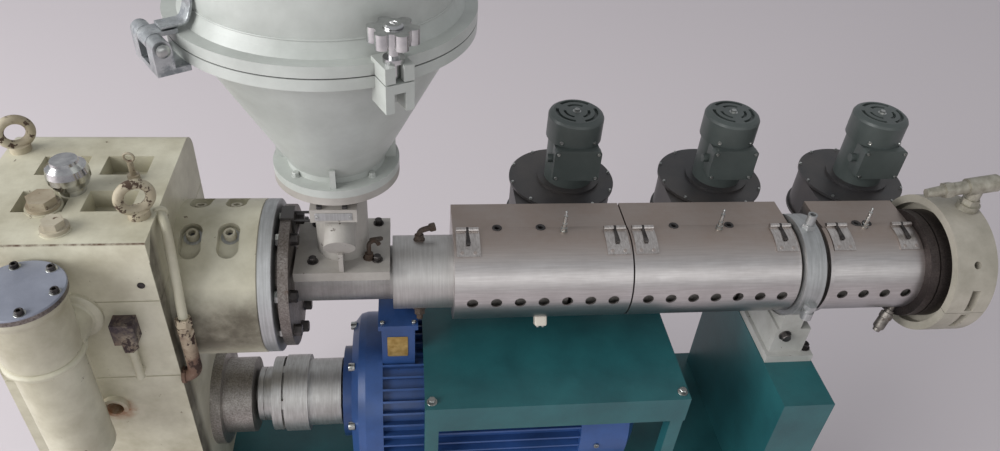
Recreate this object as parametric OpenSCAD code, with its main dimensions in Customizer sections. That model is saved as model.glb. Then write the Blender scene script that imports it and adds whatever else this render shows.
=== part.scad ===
/* [Layout] */
// Height of the barrel axis above the floor
axis_h = 1000; // [950:5:1050]
// Height of the barrel axis above the base frame
axis_rise = 520; // [518:1:522]
// Length of the welded base frame
frame_len = 1560; // [1540:5:1640]
// Width of the welded base frame
frame_w = 440; // [430:5:480]
// Distance from the frame's left end to the feed throat's axis
feed_from_left = 600; // [595:1:610]
/* [Base frame and feet] */
// Thickness and overhang of the frame's top plate
rim = 12; // [8:1:16]
// Number of doors on each long side
door_n = 3; // [2:1:4]
// Distance between doors, and from a door to the frame's ends
door_gap = 60; // [40:5:80]
// Distance from a door to the box's upper and lower edges
door_edge = 50; // [35:5:60]
// How far a door stands out
door_t = 4; // [3:0.5:6]
// Number of louvres in one door
louvre_n = 6; // [3:1:7]
// Height of the box body's underside above the floor
foot_h = 70; // [50:5:90]
// Side of a square foot plate
foot_plate = 130; // [110:5:150]
// Side of the post on a foot plate
foot_post = 80; // [70:5:90]
// Thickness of a foot plate
foot_t = 16; // [12:1:22]
// Diameter of an anchor bolt hole
anchor_d = 18; // [14:1:22]
// Distance from an anchor hole to the foot plate's outer edge
anchor_edge = 24; // [20:1:25]
/* [Gearbox] */
// Length of the gearbox along the barrel
gear_len = 290; // [270:5:300]
// Width of the gearbox across the barrel
gear_w = 330; // [320:5:340]
// Top of the gearbox above the barrel axis
gear_top = 215; // [210:1:225]
// Upper joint plane above the barrel axis
seam_up = 96; // [80:2:110]
// Lower joint plane under the barrel axis
seam_low = 84; // [70:2:100]
// Width of the groove along each joint
seam_groove = 3; // [2:0.5:4]
// Radius of the long rounded edges of the top
gear_round = 38; // [25:1:45]
// Depth of the pockets in the top
pocket_depth = 34; // [15:1:45]
// Length of one pocket along the barrel
pocket_len = 76; // [60:1:85]
// Width of one pocket across the barrel
pocket_w = 56; // [40:1:60]
// Length of the web between two pockets
pocket_web = 27; // [20:1:32]
// Thickness of the gearbox's foot
gear_foot_t = 22; // [16:1:28]
// How far the gearbox's foot stands out
gear_foot_out = 30; // [20:1:34]
// Thickness of a rib on the gearbox's foot
gear_rib_t = 14; // [10:1:18]
// Height of a rib on the gearbox's foot
gear_rib_h = 120; // [80:5:160]
// Thickness of the round end covers
end_cover_t = 14; // [10:1:18]
/* [Gearbox fittings] */
// Radius of a lifting eye's ring
eye_r = 24; // [20:1:28]
// Thickness of a lifting eye's ring
eye_wire = 16; // [12:1:18]
// Diameter of the breather
breather_d = 66; // [56:1:72]
// Height of the breather
breather_h = 60; // [50:1:70]
// Width across the corners of the large hex plug
hex_plug_d = 46; // [36:1:52]
// Length of the dipstick above the cover
dipstick_h = 34; // [24:1:44]
/* [Oil filter and pipe] */
// Diameter of the oil filter's lid
filter_lid_d = 112; // [104:1:116]
// Thickness of the oil filter's lid
filter_lid_t = 14; // [10:1:18]
// Diameter of the oil filter's bowl
filter_d = 96; // [88:1:98]
// Distance from the gearbox's front to the filter's axis
filter_out = 78; // [70:1:84]
// Top of the filter's bowl above the barrel axis
filter_top = 190; // [180:1:196]
// Step between the filter's bowl and its cone, above the barrel axis
filter_step = 24; // [10:1:40]
// Length of the filter's cone
filter_cone = 150; // [120:5:170]
// Diameter of the oil pipe
oil_d = 16; // [12:1:18]
// Distance from the gearbox to the oil pipe
oil_off = 23; // [21:1:26]
// Diameter of the oil elbow's tube
elbow_d = 24; // [20:1:26]
/* [Output side] */
// Diameter of the thrust bearing housing
thrust_d = 286; // [270:2:296]
// Length of the thrust bearing housing
thrust_len = 116; // [105:1:130]
// Width of a screw pocket in the housing
screw_pocket_w = 37; // [30:1:40]
// Depth of a screw pocket in the housing
screw_pocket_t = 16; // [10:1:20]
// Diameter of the machined output ring
ring_d = 300; // [290:2:320]
// Length of the machined output ring
ring_len = 38; // [25:1:45]
// Diameter of the barrel's bolted flange
flange_d = 264; // [250:2:280]
// Length of the barrel's flange with its neck
flange_len = 37; // [25:1:42]
// Thickness of the flange's disc
flange_t = 18; // [14:1:22]
// Diameter of the flange's neck
flange_neck_d = 196; // [180:2:206]
/* [Barrel] */
// Length of the feed section between flange and sleeve
feed_len = 177; // [172:1:185]
// Diameter of the feed section
feed_d = 102; // [96:2:108]
// Diameter of the bare sleeve
sleeve_d = 140; // [130:2:150]
// Length of the bare sleeve
sleeve_len = 112; // [100:1:125]
// Diameter of the barrel tube inside the heaters
tube_d = 100; // [90:2:110]
/* [Feed throat] */
// Width of the throat plate along the barrel
plate_x = 168; // [160:2:172]
// Depth of the throat plate across the barrel
plate_y = 156; // [140:2:166]
// Thickness of the throat plate
plate_t = 19; // [14:1:24]
// Diameter of the throat's neck
neck_d = 92; // [84:2:98]
// Diameter of the feed bore through the neck
feed_bore = 72; // [60:2:76]
// Height of the throat's top flange above the barrel axis
throat_h = 252; // [246:1:258]
// Diameter of the hopper's bottom flange
hop_flange_d = 208; // [196:2:216]
// Thickness of the two bottom flanges, each
hop_flange_t = 14; // [10:1:18]
// Width of the gate box
gate_x = 78; // [70:1:84]
// How far the gate box stands out from the throat's axis
gate_y = 66; // [60:1:72]
// Height of the gate box
gate_h = 26; // [20:1:30]
// Middle of the gate box above the barrel axis
gate_z = 187; // [180:1:192]
// Diameter of the clean-out spout
spout_d = 54; // [46:1:58]
// Slope of the clean-out spout below the horizontal
spout_tilt = 29; // [20:1:32]
// Length of the clean-out spout from the throat's axis
spout_len = 90; // [80:1:96]
/* [Hopper] */
// Height of the joint between cone and body above the barrel axis
seam_h = 524; // [510:2:540]
// Diameter of the hopper's joint rings
hop_ring_d = 448; // [440:2:460]
// Thickness of each joint ring
hop_ring_t = 16; // [12:1:20]
// Diameter of the cone's lower end
cone_low_d = 162; // [150:2:170]
// Diameter of the hopper body
body_d = 384; // [370:2:396]
// Height of the hopper body above the joint
body_h = 440; // [400:5:520]
// Wall of the hopper
hop_wall = 4; // [3:0.5:6]
// Height of the swept shoulder over the upper joint ring
shoulder_h = 20; // [14:1:24]
// Thickness of a gusset over the bottom flange
gusset_t = 9; // [6:1:12]
// Height of a gusset over the bottom flange
gusset_h = 34; // [24:1:44]
// Height of the lid
lid_h = 28; // [20:1:36]
// Height of the lid's handle
lid_handle_h = 32; // [26:1:40]
/* [Hopper clamps and hinge] */
// Distance from the joint ring to a clamp screw's axis
clamp_out = 14; // [12:1:17]
// Width of a clamp lug
lug_w = 40; // [36:1:44]
// Diameter of a clamp screw
screw_d = 16; // [14:1:18]
// Diameter of a star knob over its body
knob_d = 48; // [42:1:52]
// Height of a star knob
knob_h = 20; // [16:1:24]
// Diameter of a lobe of a star knob
lobe_d = 18; // [14:1:20]
// Distance from the joint ring to the hinge pin
hinge_out = 28; // [26:1:32]
// Height of the hinge pin over the joint
hinge_up = 12; // [10:1:14]
// Diameter of the hinge pin
hinge_pin_d = 12; // [10:1:14]
// Width of the hinge
leaf_w = 80; // [70:1:90]
/* [Zone covers] */
// Radius of the covers' round front
cover_r = 92; // [86:1:96]
// Distance from the axis to the covers' flat back
cover_back = 93; // [90:1:98]
// Height of the covers' flat top above the axis
cover_top = 90; // [84:1:90]
// Sheet thickness of the covers
sheet_t = 3; // [2:0.5:4]
// Length of the first zone cover
zone1_len = 333; // [320:1:345]
// Length of the second zone cover
zone2_len = 329; // [320:1:340]
// Length of the third zone cover
zone3_len = 190; // [180:1:200]
// Joint between neighbouring covers
cover_gap = 3; // [2:0.5:6]
// Diameter of a cooling hole
vent_d = 21; // [14:1:24]
// Distance between cooling holes
vent_pitch = 44.5; // [38:0.5:46]
// Diameter of a lead hole in a cover's top
lead_hole_d = 13; // [10:0.5:16]
// Diameter of the heater bands
heater_d = 156; // [140:2:166]
// Space between heater bands
heater_gap = 8; // [5:1:12]
// Width of a strap latch
strap_w = 44; // [36:1:48]
// Thickness of a strap latch
strap_t = 2.5; // [2:0.5:3]
// Diameter of a strap latch's roll
roll_d = 9; // [7:0.5:11]
/* [Barrel clamp and stand] */
// Width of the split ring that holds the barrel
clamp_w = 40; // [34:1:44]
// Outer diameter of the split ring
clamp_d = 206; // [200:2:214]
// Wall of the split ring
clamp_wall = 14; // [10:1:16]
// Space between the split ring and the third cover
clamp_gap = 20; // [14:1:24]
// Space between the second cover and the split ring
clamp_side = 5; // [4:0.5:8]
// Width of the stand under the split ring
stand_x = 72; // [60:1:84]
// Depth of the stand
stand_y = 164; // [150:2:180]
// Width of the pedestal along the barrel
ped_x = 106; // [96:2:110]
// Depth of the pedestal across the barrel
ped_y = 416; // [390:2:424]
// Top of the pedestal under the barrel axis
ped_drop = 190; // [180:2:200]
// Shift of the pedestal towards the die
ped_shift = 14; // [8:1:16]
/* [Die end] */
// Diameter of the die adapter
adapter_d = 220; // [210:2:224]
// Length of the die adapter
adapter_len = 130; // [122:1:140]
// Diameter of the adapter's outlet collar
collar_d = 160; // [140:2:180]
// Length of the adapter's outlet collar
collar_len = 26; // [20:1:32]
// Diameter of the melt outlet
outlet_d = 50; // [40:1:60]
// Outer diameter of the die clamp ring
die_ring_d = 280; // [270:2:290]
// Width of the die clamp ring
die_ring_w = 83; // [70:1:88]
// Distance from the third cover to the die clamp ring
die_ring_gap = 33; // [28:1:40]
// Depth of the open recess in the die clamp ring
die_recess = 20; // [12:1:26]
// Diameter of the tommy bar holes in the die clamp ring
tommy_d = 15; // [12:1:18]
/* [Melt sensor] */
// Height of the sensor's connector above the die clamp ring
sensor_h = 50; // [44:1:56]
// Diameter of the sensor's connector
sensor_d = 34; // [28:1:38]
// Length of the sensor's connector
sensor_len = 72; // [60:1:80]
/* [Blowers] */
// Distance of the blowers behind the barrel axis
fan_back = 252; // [246:1:260]
// Radius of a blower scroll
scroll_r = 114; // [106:1:116]
// Height of a blower scroll
scroll_h = 100; // [80:2:110]
// Top of a blower scroll above the barrel axis
scroll_top = 42; // [36:1:48]
// Width of a blower's outlet duct
duct_w = 82; // [70:1:90]
// Diameter of a blower motor
fan_motor_d = 104; // [96:1:108]
// Diameter of a blower motor's cowl
fan_cowl_d = 116; // [112:1:122]
// Height of a blower motor above its scroll
fan_motor_h = 166; // [155:1:180]
// Height of a blower motor's cowl
fan_cowl_h = 58; // [50:1:66]
// Width of a blower motor's terminal box
fan_box_x = 98; // [84:1:104]
// Height of a blower motor's terminal box
fan_box_z = 72; // [60:1:80]
// Shift of the first blower from the middle of its zone
fan_shift = 85; // [78:1:92]
// Distance between neighbouring blowers
fan_pitch = 337; // [330:1:342]
// Offset of a blower's motor from the middle of its scroll
motor_shift = 14; // [6:1:18]
/* [Drive] */
// Height of the motor axis above the base frame
motor_h = 180; // [178:1:182]
// Radius of the motor over its fins
motor_r = 168; // [160:1:172]
// Height of a cooling fin
fin_h = 16; // [10:1:20]
// Thickness of a cooling fin
fin_t = 4; // [3:0.5:6]
// Number of cooling fins
fin_n = 44; // [32:2:48]
// Length of the finned motor body
motor_len = 400; // [380:5:420]
// Length of the motor's end shield
shield_len = 62; // [50:1:70]
// Length of the motor's fan cowl
cowl_len = 120; // [100:5:130]
// Number of air slots in the motor's fan cowl
cowl_slots = 12; // [8:1:16]
// Length of the terminal box on the motor
tbox_x = 76; // [64:1:78]
// Width of the terminal box on the motor
tbox_y = 126; // [100:2:140]
// Top of the terminal box under the barrel axis
tbox_drop = 80; // [76:1:90]
// Length of the input bearing cap
cap_len = 77; // [70:1:84]
// Distance between the input cap and the coupling
cap_gap = 38; // [34:1:42]
// Length of the coupling
coup_len = 140; // [134:1:144]
// Diameter of the large coupling half
coup_d = 160; // [140:2:164]
// Diameter of the drive shafts
shaft_d = 46; // [38:1:50]
/* [Motor guard] */
// Distance from the bare sleeve's left end to the guard
guard_off = 56; // [52:1:64]
// Length of the guard over the motor
guard_len = 508; // [490:2:516]
// Half width of the guard
guard_half = 208; // [200:1:214]
// Top of the guard under the barrel axis
guard_drop = 155; // [150:1:158]
// Sheet thickness of the guard
guard_t = 5; // [4:0.5:8]
// Height of the guard's folded edge
guard_lip = 60; // [40:2:80]
// Side of a guard leg
guard_leg = 26; // [20:1:32]
/* [Hidden] */
$fn = 96;
// Clearance between pieces that slide or turn past each other
run = 1;
// Clearance that keeps turning pieces free of fixed ones
free = 6;
// Gap under pieces that only rest on a round surface
seat = 0.3;
// How far a cut goes past the surface it starts from
past = 1;
// Height of the frame's top above the floor, and depth of the motor axis under the barrel axis
frame_top = axis_h - axis_rise;
drive_drop = axis_rise - motor_h;
// Place of the feed throat's axis in the machine's frame
feed_x = feed_from_left - frame_len / 2;
// Stations along the barrel, counted from the feed throat's axis
x_flange = -feed_len / 2;
x_ring = x_flange - flange_len;
x_thrust = x_ring - ring_len;
x_gear = x_thrust - thrust_len;
x_gear_end = x_gear - gear_len;
x_sleeve = feed_len / 2;
x_zone1 = x_sleeve + sleeve_len;
x_zone2 = x_zone1 + zone1_len + cover_gap;
x_clamp = x_zone2 + zone2_len + clamp_side;
x_zone3 = x_clamp + clamp_w + clamp_gap;
x_adapter = x_zone3 + zone3_len;
x_die_ring = x_adapter + die_ring_gap;
x_clamp_mid = x_clamp + clamp_w / 2;
// Stations of the drive
x_cap_end = x_gear + cap_len;
x_coup = x_cap_end + cap_gap;
x_shield = x_coup + coup_len + free;
nose_len = 21;
x_motor = x_shield + nose_len + shield_len;
x_guard = x_sleeve + guard_off;
// Heights above the barrel axis
z_frame = -axis_rise;
z_plate = feed_d / 2 + plate_t;
z_cone = throat_h + hop_flange_t;
// Lower end of the cone proper, over its short neck
z_cone_low = z_cone + 10;
z_body = seam_h + 2;
// Place of the filling plug on the gearbox's front edge
fill_shift = 7;
fill_in = 36;
x_fill_plug = x_gear_end + gear_len / 2 + fill_shift;
y_fill_plug = -gear_w / 2 + fill_in;
// First pocket and the front row of pockets in the gearbox's top
pocket_share = 0.63;
x_pocket = x_gear_end + (gear_len - 2 * pocket_len - pocket_web) * pocket_share;
pocket_front_off = 27;
y_pocket_front = -pocket_front_off - pocket_w;
y_pocket_back = 19;
// The oil pipe runs round the thrust housing, at this radius about the barrel axis
oil_gap = 9;
oil_r = thrust_d / 2 + oil_d / 2 + oil_gap;
oil_x = x_gear + oil_off;
oil_low = 16;
oil_high = 76;
// Nuts on the oil piping, and the place of the tube under them
oil_nut_d = 28;
oil_nut_h = 14;
oil_tube_y = -oil_r * cos(oil_low) - oil_nut_h * sin(oil_low);
oil_tube_z = oil_r * sin(oil_low) - oil_nut_h * cos(oil_low);
// Square fitting on the gearbox's front: place along the barrel, size and underside
fit_off = 62;
fit_x = x_gear - fit_off;
fit_len = 36;
fit_out = 26;
fit_low = 22;
fit_h = 44;
fit_nut_h = 20;

// Puts a part drawn about the barrel axis and the feed axis into the machine's frame
module placed() {
    translate([feed_x, 0, axis_h]) children();
}
// A flat shape drawn in Y and Z, made solid along the barrel
module along_x(x, len) {
    translate([x, 0, 0]) rotate([90, 0, 90]) linear_extrude(len) children();
}
// A round bar along the barrel
module round_x(x, len, d, z = 0, y = 0) {
    translate([x, y, z]) rotate([0, 90, 0]) cylinder(h = len, d = d);
}
// A round bar along the barrel that tapers
module cone_x(x, len, d1, d2, z = 0, y = 0) {
    translate([x, y, z]) rotate([0, 90, 0]) cylinder(h = len, d1 = d1, d2 = d2);
}
// A block given by its low corner and its size
module block(low, size) {
    translate(low) cube(size);
}
// A piece drawn along Z, stood on the barrel axis at an angle counted from the front upward
module at_angle(x, a) {
    translate([x, 0, 0]) rotate([90 - a, 0, 0]) children();
}
// A section drawn as radius and length, carried about the barrel axis between two such angles
module arc_x(x, low, high) {
    translate([x, 0, 0]) rotate([0, 90, 0]) rotate([0, 0, 270 - high]) rotate_extrude(angle = high - low)
        children();
}

module base_frame() {
    box_h = frame_top - foot_h - rim;
    door_len = (frame_len - (door_n + 1) * door_gap) / door_n;
    door_x = -frame_len / 2 + door_gap + floor(door_n / 2) * (door_len + door_gap);
    louvre_h = 8;
    louvre_step = 24;
    color("darkslategray") difference() {
        union() {
            block([-frame_len / 2, -frame_w / 2, foot_h], [frame_len, frame_w, box_h]);
            block([-frame_len / 2, -frame_w / 2 - rim, frame_top - rim],
                [frame_len, frame_w + 2 * rim, rim]);
            for (i = [0:door_n - 1], s = [-1, 1])
                block([-frame_len / 2 + door_gap + i * (door_len + door_gap),
                    s > 0 ? frame_w / 2 : -frame_w / 2 - door_t, foot_h + door_edge],
                    [door_len, door_t, box_h - 2 * door_edge]);
        }
        for (i = [0:louvre_n - 1], s = [-1, 1])
            block([door_x + door_len / 4, s > 0 ? frame_w / 2 : -frame_w / 2 - door_t - past,
                foot_h + door_edge + louvre_step * (i + 1)], [door_len / 2, door_t + past, louvre_h]);
    }
}

module frame_feet() {
    reach = frame_len / 2 - foot_plate / 2;
    side = frame_w / 2 - foot_plate / 2;
    color("darkslategray") for (x = [-reach, 0, reach], s = [-1, 1])
        translate([x, s * side, 0]) difference() {
            union() {
                translate([-foot_plate / 2, -foot_plate / 2, 0]) cube([foot_plate, foot_plate, foot_t]);
                translate([-foot_post / 2, s > 0 ? -foot_plate / 2 : foot_plate / 2 - foot_post, 0])
                    cube([foot_post, foot_post, foot_h]);
            }
            translate([0, s * (foot_plate / 2 - anchor_edge), -past])
                cylinder(h = foot_t + 2 * past, d = anchor_d);
        }
}

// One casting of the gearbox between two heights, stepped in at its joints
module casting(low, high, groove_low, groove_high) {
    in = seam_groove / 2;
    union() {
        block([x_gear_end, -gear_w / 2, low + groove_low],
            [gear_len, gear_w, high - low - groove_low - groove_high]);
        block([x_gear_end + in, -gear_w / 2 + in, low], [gear_len - 2 * in, gear_w - 2 * in, high - low]);
    }
}

module gearbox_base() {
    rib_n = 4;
    rib_edge = 40;
    rib_out = 20;
    drain_d = 30;
    drain_t = 10;
    drain_share = 0.57;
    drain_low = 72;
    drain_x = x_gear_end + gear_len * drain_share;
    drain_z = -seam_low - drain_low;
    color("wheat") placed() difference() {
        union() {
            casting(z_frame, -seam_low, 0, seam_groove / 2);
            block([x_gear_end - rib_out, -gear_w / 2 - gear_foot_out, z_frame],
                [gear_len + rib_out, gear_w + 2 * gear_foot_out, gear_foot_t]);
            for (i = [0:rib_n - 1], s = [-1, 1])
                block([x_gear_end + rib_edge + i * (gear_len - 2 * rib_edge) / (rib_n - 1) - gear_rib_t / 2,
                    s > 0 ? gear_w / 2 : -gear_w / 2 - rib_out, z_frame + gear_foot_t],
                    [gear_rib_t, rib_out, gear_rib_h]);
            round_x(x_gear_end - end_cover_t, end_cover_t, coup_d, -drive_drop);
            translate([drain_x, -gear_w / 2, drain_z]) rotate([90, 0, 0])
                cylinder(h = drain_t, d = 1.5 * drain_d);
        }
        translate([drain_x, -gear_w / 2 + drain_t, drain_z]) rotate([90, 0, 0])
            cylinder(h = 3 * drain_t, d = drain_d);
    }
}

module gearbox_middle() {
    in = seam_groove / 2;
    color("wheat") placed() union() {
        casting(-seam_low, seam_up, in, in);
        round_x(x_gear_end - end_cover_t, end_cover_t, 2 * seam_low - 2 * in);
    }
}

// Outline of the gearbox cover across the barrel, with rounded long edges
module cover_outline() {
    half = gear_w / 2;
    in = seam_groove / 2;
    translate([-half + in, seam_up]) square([gear_w - 2 * in, gear_round]);
    translate([-half, seam_up + in]) square([gear_w, gear_top - gear_round - seam_up - in]);
    translate([-half + gear_round, seam_up + in])
        square([gear_w - 2 * gear_round, gear_top - seam_up - in]);
    for (s = [-1, 1]) translate([s * (half - gear_round), gear_top - gear_round]) circle(r = gear_round);
}

// The large hex plug stands on a boss in the front left pocket, this much above the cover
hex_seat = 2;
hex_off_x = 8;
hex_off_y = 15;
x_hex_plug = x_pocket + pocket_len / 2 + hex_off_x;
y_hex_plug = y_pocket_front + pocket_w / 2 - hex_off_y;
x_breather = x_pocket + pocket_len;
breather_off = 2;
y_breather = y_pocket_front + pocket_w + breather_off;

module gearbox_cover() {
    breather_boss = 44;
    fill_boss = 46;
    boss_h = gear_top - seam_up - gear_round;
    hex_boss = hex_plug_d + 10;
    color("wheat") placed() union() {
        difference() {
            along_x(x_gear_end, gear_len) cover_outline();
            for (i = [0, 1], y = [y_pocket_back, y_pocket_front])
                block([x_pocket + i * (pocket_len + pocket_web), y, gear_top - pocket_depth],
                    [pocket_len, pocket_w, pocket_depth + past]);
        }
        translate([x_fill_plug, y_fill_plug, seam_up + gear_round])
            cylinder(h = boss_h + hex_seat, d = fill_boss);
        translate([x_breather, y_breather, seam_up + gear_round])
            cylinder(h = boss_h, d = breather_boss);
        translate([x_hex_plug, y_hex_plug, gear_top - pocket_depth - past])
            cylinder(h = pocket_depth + past + hex_seat, d = hex_boss);
    }
}

// A cast lifting eye with its collar
module eye_bolt() {
    collar_h = 12;
    collar_in = 7;
    neck = 4;
    turn = 30;
    union() {
        cylinder(h = collar_h, r = eye_r - collar_in);
        translate([0, 0, eye_r + eye_wire / 2 + neck]) rotate([90, 0, turn]) rotate_extrude()
            translate([eye_r, 0]) circle(d = eye_wire, $fn = 32);
    }
}

module lifting_eyes() {
    x_eye = 24;
    y_eye = gear_w / 2 - 70;
    color("sienna") placed() for (p = [[x_gear_end + x_eye, y_eye], [x_gear - x_eye, -y_eye]])
        translate([p[0], p[1], gear_top]) eye_bolt();
}

module breather_cap() {
    r = breather_d / 2;
    h = breather_h;
    color("silver") placed() translate([x_breather, y_breather, gear_top]) rotate_extrude()
        polygon([[0, 0], [r * 0.62, 0], [r * 0.62, h * 0.16], [r * 0.86, h * 0.26], [r, h * 0.44],
            [r, h * 0.62], [r * 0.92, h * 0.8], [r * 0.66, h * 0.92], [r * 0.62, h], [0, h]]);
}

module gearbox_plugs() {
    hex_h = 13;
    washer_h = 6;
    washer_out = 4;
    stick_from_end = 58;
    stick_in = 11;
    collar_h = 8;
    small_d = 34;
    small_h = 12;
    stick_d = 10;
    loop_r = 8;
    loop_wire = 4;
    color("silver") placed() {
        translate([x_hex_plug, y_hex_plug, gear_top + hex_seat]) {
            cylinder(h = washer_h, d = hex_plug_d + washer_out);
            translate([0, 0, washer_h]) cylinder(h = hex_h, d = hex_plug_d, $fn = 6);
        }
        translate([x_fill_plug, y_fill_plug, gear_top + hex_seat]) {
            cylinder(h = washer_h, d = small_d + 2 * washer_out);
            translate([0, 0, washer_h]) cylinder(h = small_h, d = small_d, $fn = 6);
        }
        translate([x_gear - stick_from_end, y_pocket_back - stick_in, gear_top]) union() {
            cylinder(h = collar_h, d = 2 * stick_d);
            cylinder(h = dipstick_h, d = stick_d);
            translate([0, 0, dipstick_h + loop_r]) rotate([90, 0, 0]) rotate_extrude()
                translate([loop_r, 0]) circle(d = loop_wire, $fn = 24);
        }
    }
}

// A pocket in the round housing from its screw's angle to its shallow end
module screw_pocket(x, low, high) {
    side = 0.5;
    r_floor = thrust_d / 2 - screw_pocket_t;
    r_out = thrust_d / 2 + past;
    union() {
        arc_x(x, low, high) translate([r_floor, -screw_pocket_w / 2 + side])
            square([r_out - r_floor, screw_pocket_w - 2 * side]);
        for (a = [low, high]) at_angle(x, a) translate([0, 0, r_floor])
            cylinder(h = r_out - r_floor, d = screw_pocket_w);
    }
}

module thrust_housing() {
    screw_a = 73.5;
    reach_a = 13;
    first = 30;
    second = 92;
    color("wheat") placed() difference() {
        round_x(x_gear, thrust_len, thrust_d);
        for (x = [x_gear + first, x_gear + second], side = [0, 180]) {
            screw_pocket(x, side + screw_a - reach_a, side + screw_a);
            screw_pocket(x, side - screw_a, side - screw_a + reach_a);
        }
    }
}

module output_ring() {
    step = 8;
    color("silver") placed() union() {
        round_x(x_thrust, step, thrust_d - step);
        round_x(x_thrust + step, ring_len - step, ring_d);
    }
}

module input_cap() {
    plate_out = 40;
    plate_len = 20;
    color("dimgray") placed() difference() {
        union() {
            round_x(x_gear, cap_len, coup_d - 4, -drive_drop);
            round_x(x_gear, plate_len, coup_d + plate_out, -drive_drop);
        }
        round_x(x_cap_end - plate_len, plate_len + past, shaft_d + 2 * run, -drive_drop);
    }
}

// The shaft from the input cap to the motor, with both coupling halves and the gap between their jaws
module coupling() {
    hub_len = 67;
    disc_len = 20;
    gap_len = 5;
    jaw_n = 6;
    jaw_w = 18;
    jaw_h = 16;
    jaw_in = 22;
    tail = 18;
    x_hub = x_coup + coup_len - hub_len;
    shaft_from = x_cap_end - 20 + run;
    color("dimgray") placed() union() {
        round_x(shaft_from, x_coup + coup_len + tail - shaft_from, shaft_d, -drive_drop);
        round_x(x_coup, disc_len, coup_d - 6, -drive_drop);
        round_x(x_coup + disc_len, gap_len, coup_d - 30, -drive_drop);
        round_x(x_coup + disc_len + gap_len, x_hub - x_coup - disc_len - gap_len, coup_d, -drive_drop);
        round_x(x_hub, hub_len, coup_d - 20, -drive_drop);
        for (i = [0:jaw_n - 1])
            translate([x_coup + disc_len - past, 0, -drive_drop]) rotate([i * 360 / jaw_n, 0, 0])
                translate([0, -jaw_w / 2, coup_d / 2 - jaw_in]) cube([gap_len + 2 * past, jaw_w, jaw_h]);
    }
}

module motor_end_shield() {
    nose_d = 190;
    turn = 14;
    color("royalblue") placed() difference() {
        union() {
            round_x(x_shield, nose_len, nose_d, -drive_drop);
            cone_x(x_shield + nose_len, turn, 2 * motor_r - 44, 2 * motor_r - 8, -drive_drop);
            cone_x(x_shield + nose_len + turn, turn, 2 * motor_r - 8, 2 * motor_r, -drive_drop);
            round_x(x_shield + nose_len + 2 * turn, shield_len - 2 * turn, 2 * motor_r, -drive_drop);
        }
        round_x(x_shield - past, nose_len + past, shaft_d + 2 * run, -drive_drop);
    }
}

module motor_body() {
    foot_out = 150;
    foot_in = 90;
    foot_h2 = 18;
    foot_end = 40;
    web_in = 100;
    web_h = 90;
    web_end = foot_end + 20;
    lid_t = 12;
    lid_over = 3;
    lid_left = 6;
    sink = 2 * fin_h;
    box_h = drive_drop - motor_r + sink - tbox_drop - lid_t;
    color("royalblue") placed() union() {
        translate([0, 0, -drive_drop]) along_x(x_motor, motor_len) {
            circle(r = motor_r - fin_h);
            for (i = [0:fin_n - 1]) rotate(i * 360 / fin_n)
                translate([motor_r - fin_h - 2, -fin_t / 2]) square([fin_h + 2, fin_t]);
        }
        for (s = [-1, 1]) {
            block([x_motor + foot_end, s > 0 ? foot_in : -foot_out, z_frame],
                [motor_len - 2 * foot_end, foot_out - foot_in, foot_h2]);
            block([x_motor + web_end, s > 0 ? web_in : -web_in - foot_h2, z_frame + foot_h2],
                [motor_len - 2 * web_end, foot_h2, web_h]);
        }
        block([x_motor, -tbox_y / 2, -drive_drop + motor_r - sink], [tbox_x - 2 * lid_left, tbox_y, box_h]);
        block([x_motor - lid_left, -tbox_y / 2 - lid_over, -tbox_drop - lid_t],
            [tbox_x, tbox_y + 2 * lid_over, lid_t]);
    }
}

module motor_fan_cowl() {
    turn = 20;
    slot_in = 50;
    slot_out = 120;
    slot_w = 12;
    slot_t = 6;
    x_back = x_motor + motor_len + cowl_len;
    color("royalblue") placed() difference() {
        union() {
            round_x(x_motor + motor_len, cowl_len - turn, 2 * motor_r + 4, -drive_drop);
            cone_x(x_back - turn, turn, 2 * motor_r + 4, 2 * motor_r - 60, -drive_drop);
        }
        for (i = [0:cowl_slots - 1])
            translate([x_back - slot_t, 0, -drive_drop]) rotate([i * 360 / cowl_slots, 0, 0])
                translate([0, -slot_w / 2, slot_in]) cube([slot_t + past, slot_w, slot_out - slot_in]);
    }
}

module motor_guard() {
    z_under = -guard_drop - guard_t;
    color("teal") placed() union() {
        block([x_guard, -guard_half, z_under], [guard_len, 2 * guard_half, guard_t]);
        for (s = [-1, 1]) {
            block([x_guard, s > 0 ? guard_half - guard_t : -guard_half, z_under - guard_lip],
                [guard_len, guard_t, guard_lip]);
            for (x = [x_guard, x_guard + guard_len - guard_leg])
                block([x, s > 0 ? guard_half - guard_t - guard_leg : -guard_half + guard_t, z_frame],
                    [guard_leg, guard_leg, z_under - z_frame]);
        }
    }
}

filter_shift = 3;
x_filter = x_gear_end + gear_len / 2 + filter_shift;
y_filter = -gear_w / 2 - filter_out;

module oil_filter() {
    collar_h = 20;
    cone_end_d = 44;
    boss_d = 62;
    boss_z = 84;
    bead = 8;
    lid_in = 4;
    cone_in = 6;
    seat_t = 12;
    seat_out = 28;
    color("wheat") placed() union() {
        translate([x_filter, y_filter, filter_step]) cylinder(h = filter_top - filter_step, d = filter_d);
        translate([x_filter, y_filter, filter_top - collar_h])
            cylinder(h = collar_h, d = filter_lid_d - lid_in);
        translate([x_filter, y_filter, filter_step - bead]) cylinder(h = bead, d = filter_d + bead);
        translate([x_filter, y_filter, filter_step - filter_cone])
            cylinder(h = filter_cone, d1 = cone_end_d, d2 = filter_d - cone_in);
        translate([x_filter, y_filter, boss_z]) rotate([-90, 0, 0]) cylinder(h = filter_out, d = boss_d);
        translate([x_filter, -gear_w / 2 - seat_t, boss_z]) rotate([-90, 0, 0])
            cylinder(h = seat_t, d = boss_d + seat_out);
    }
}

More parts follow.
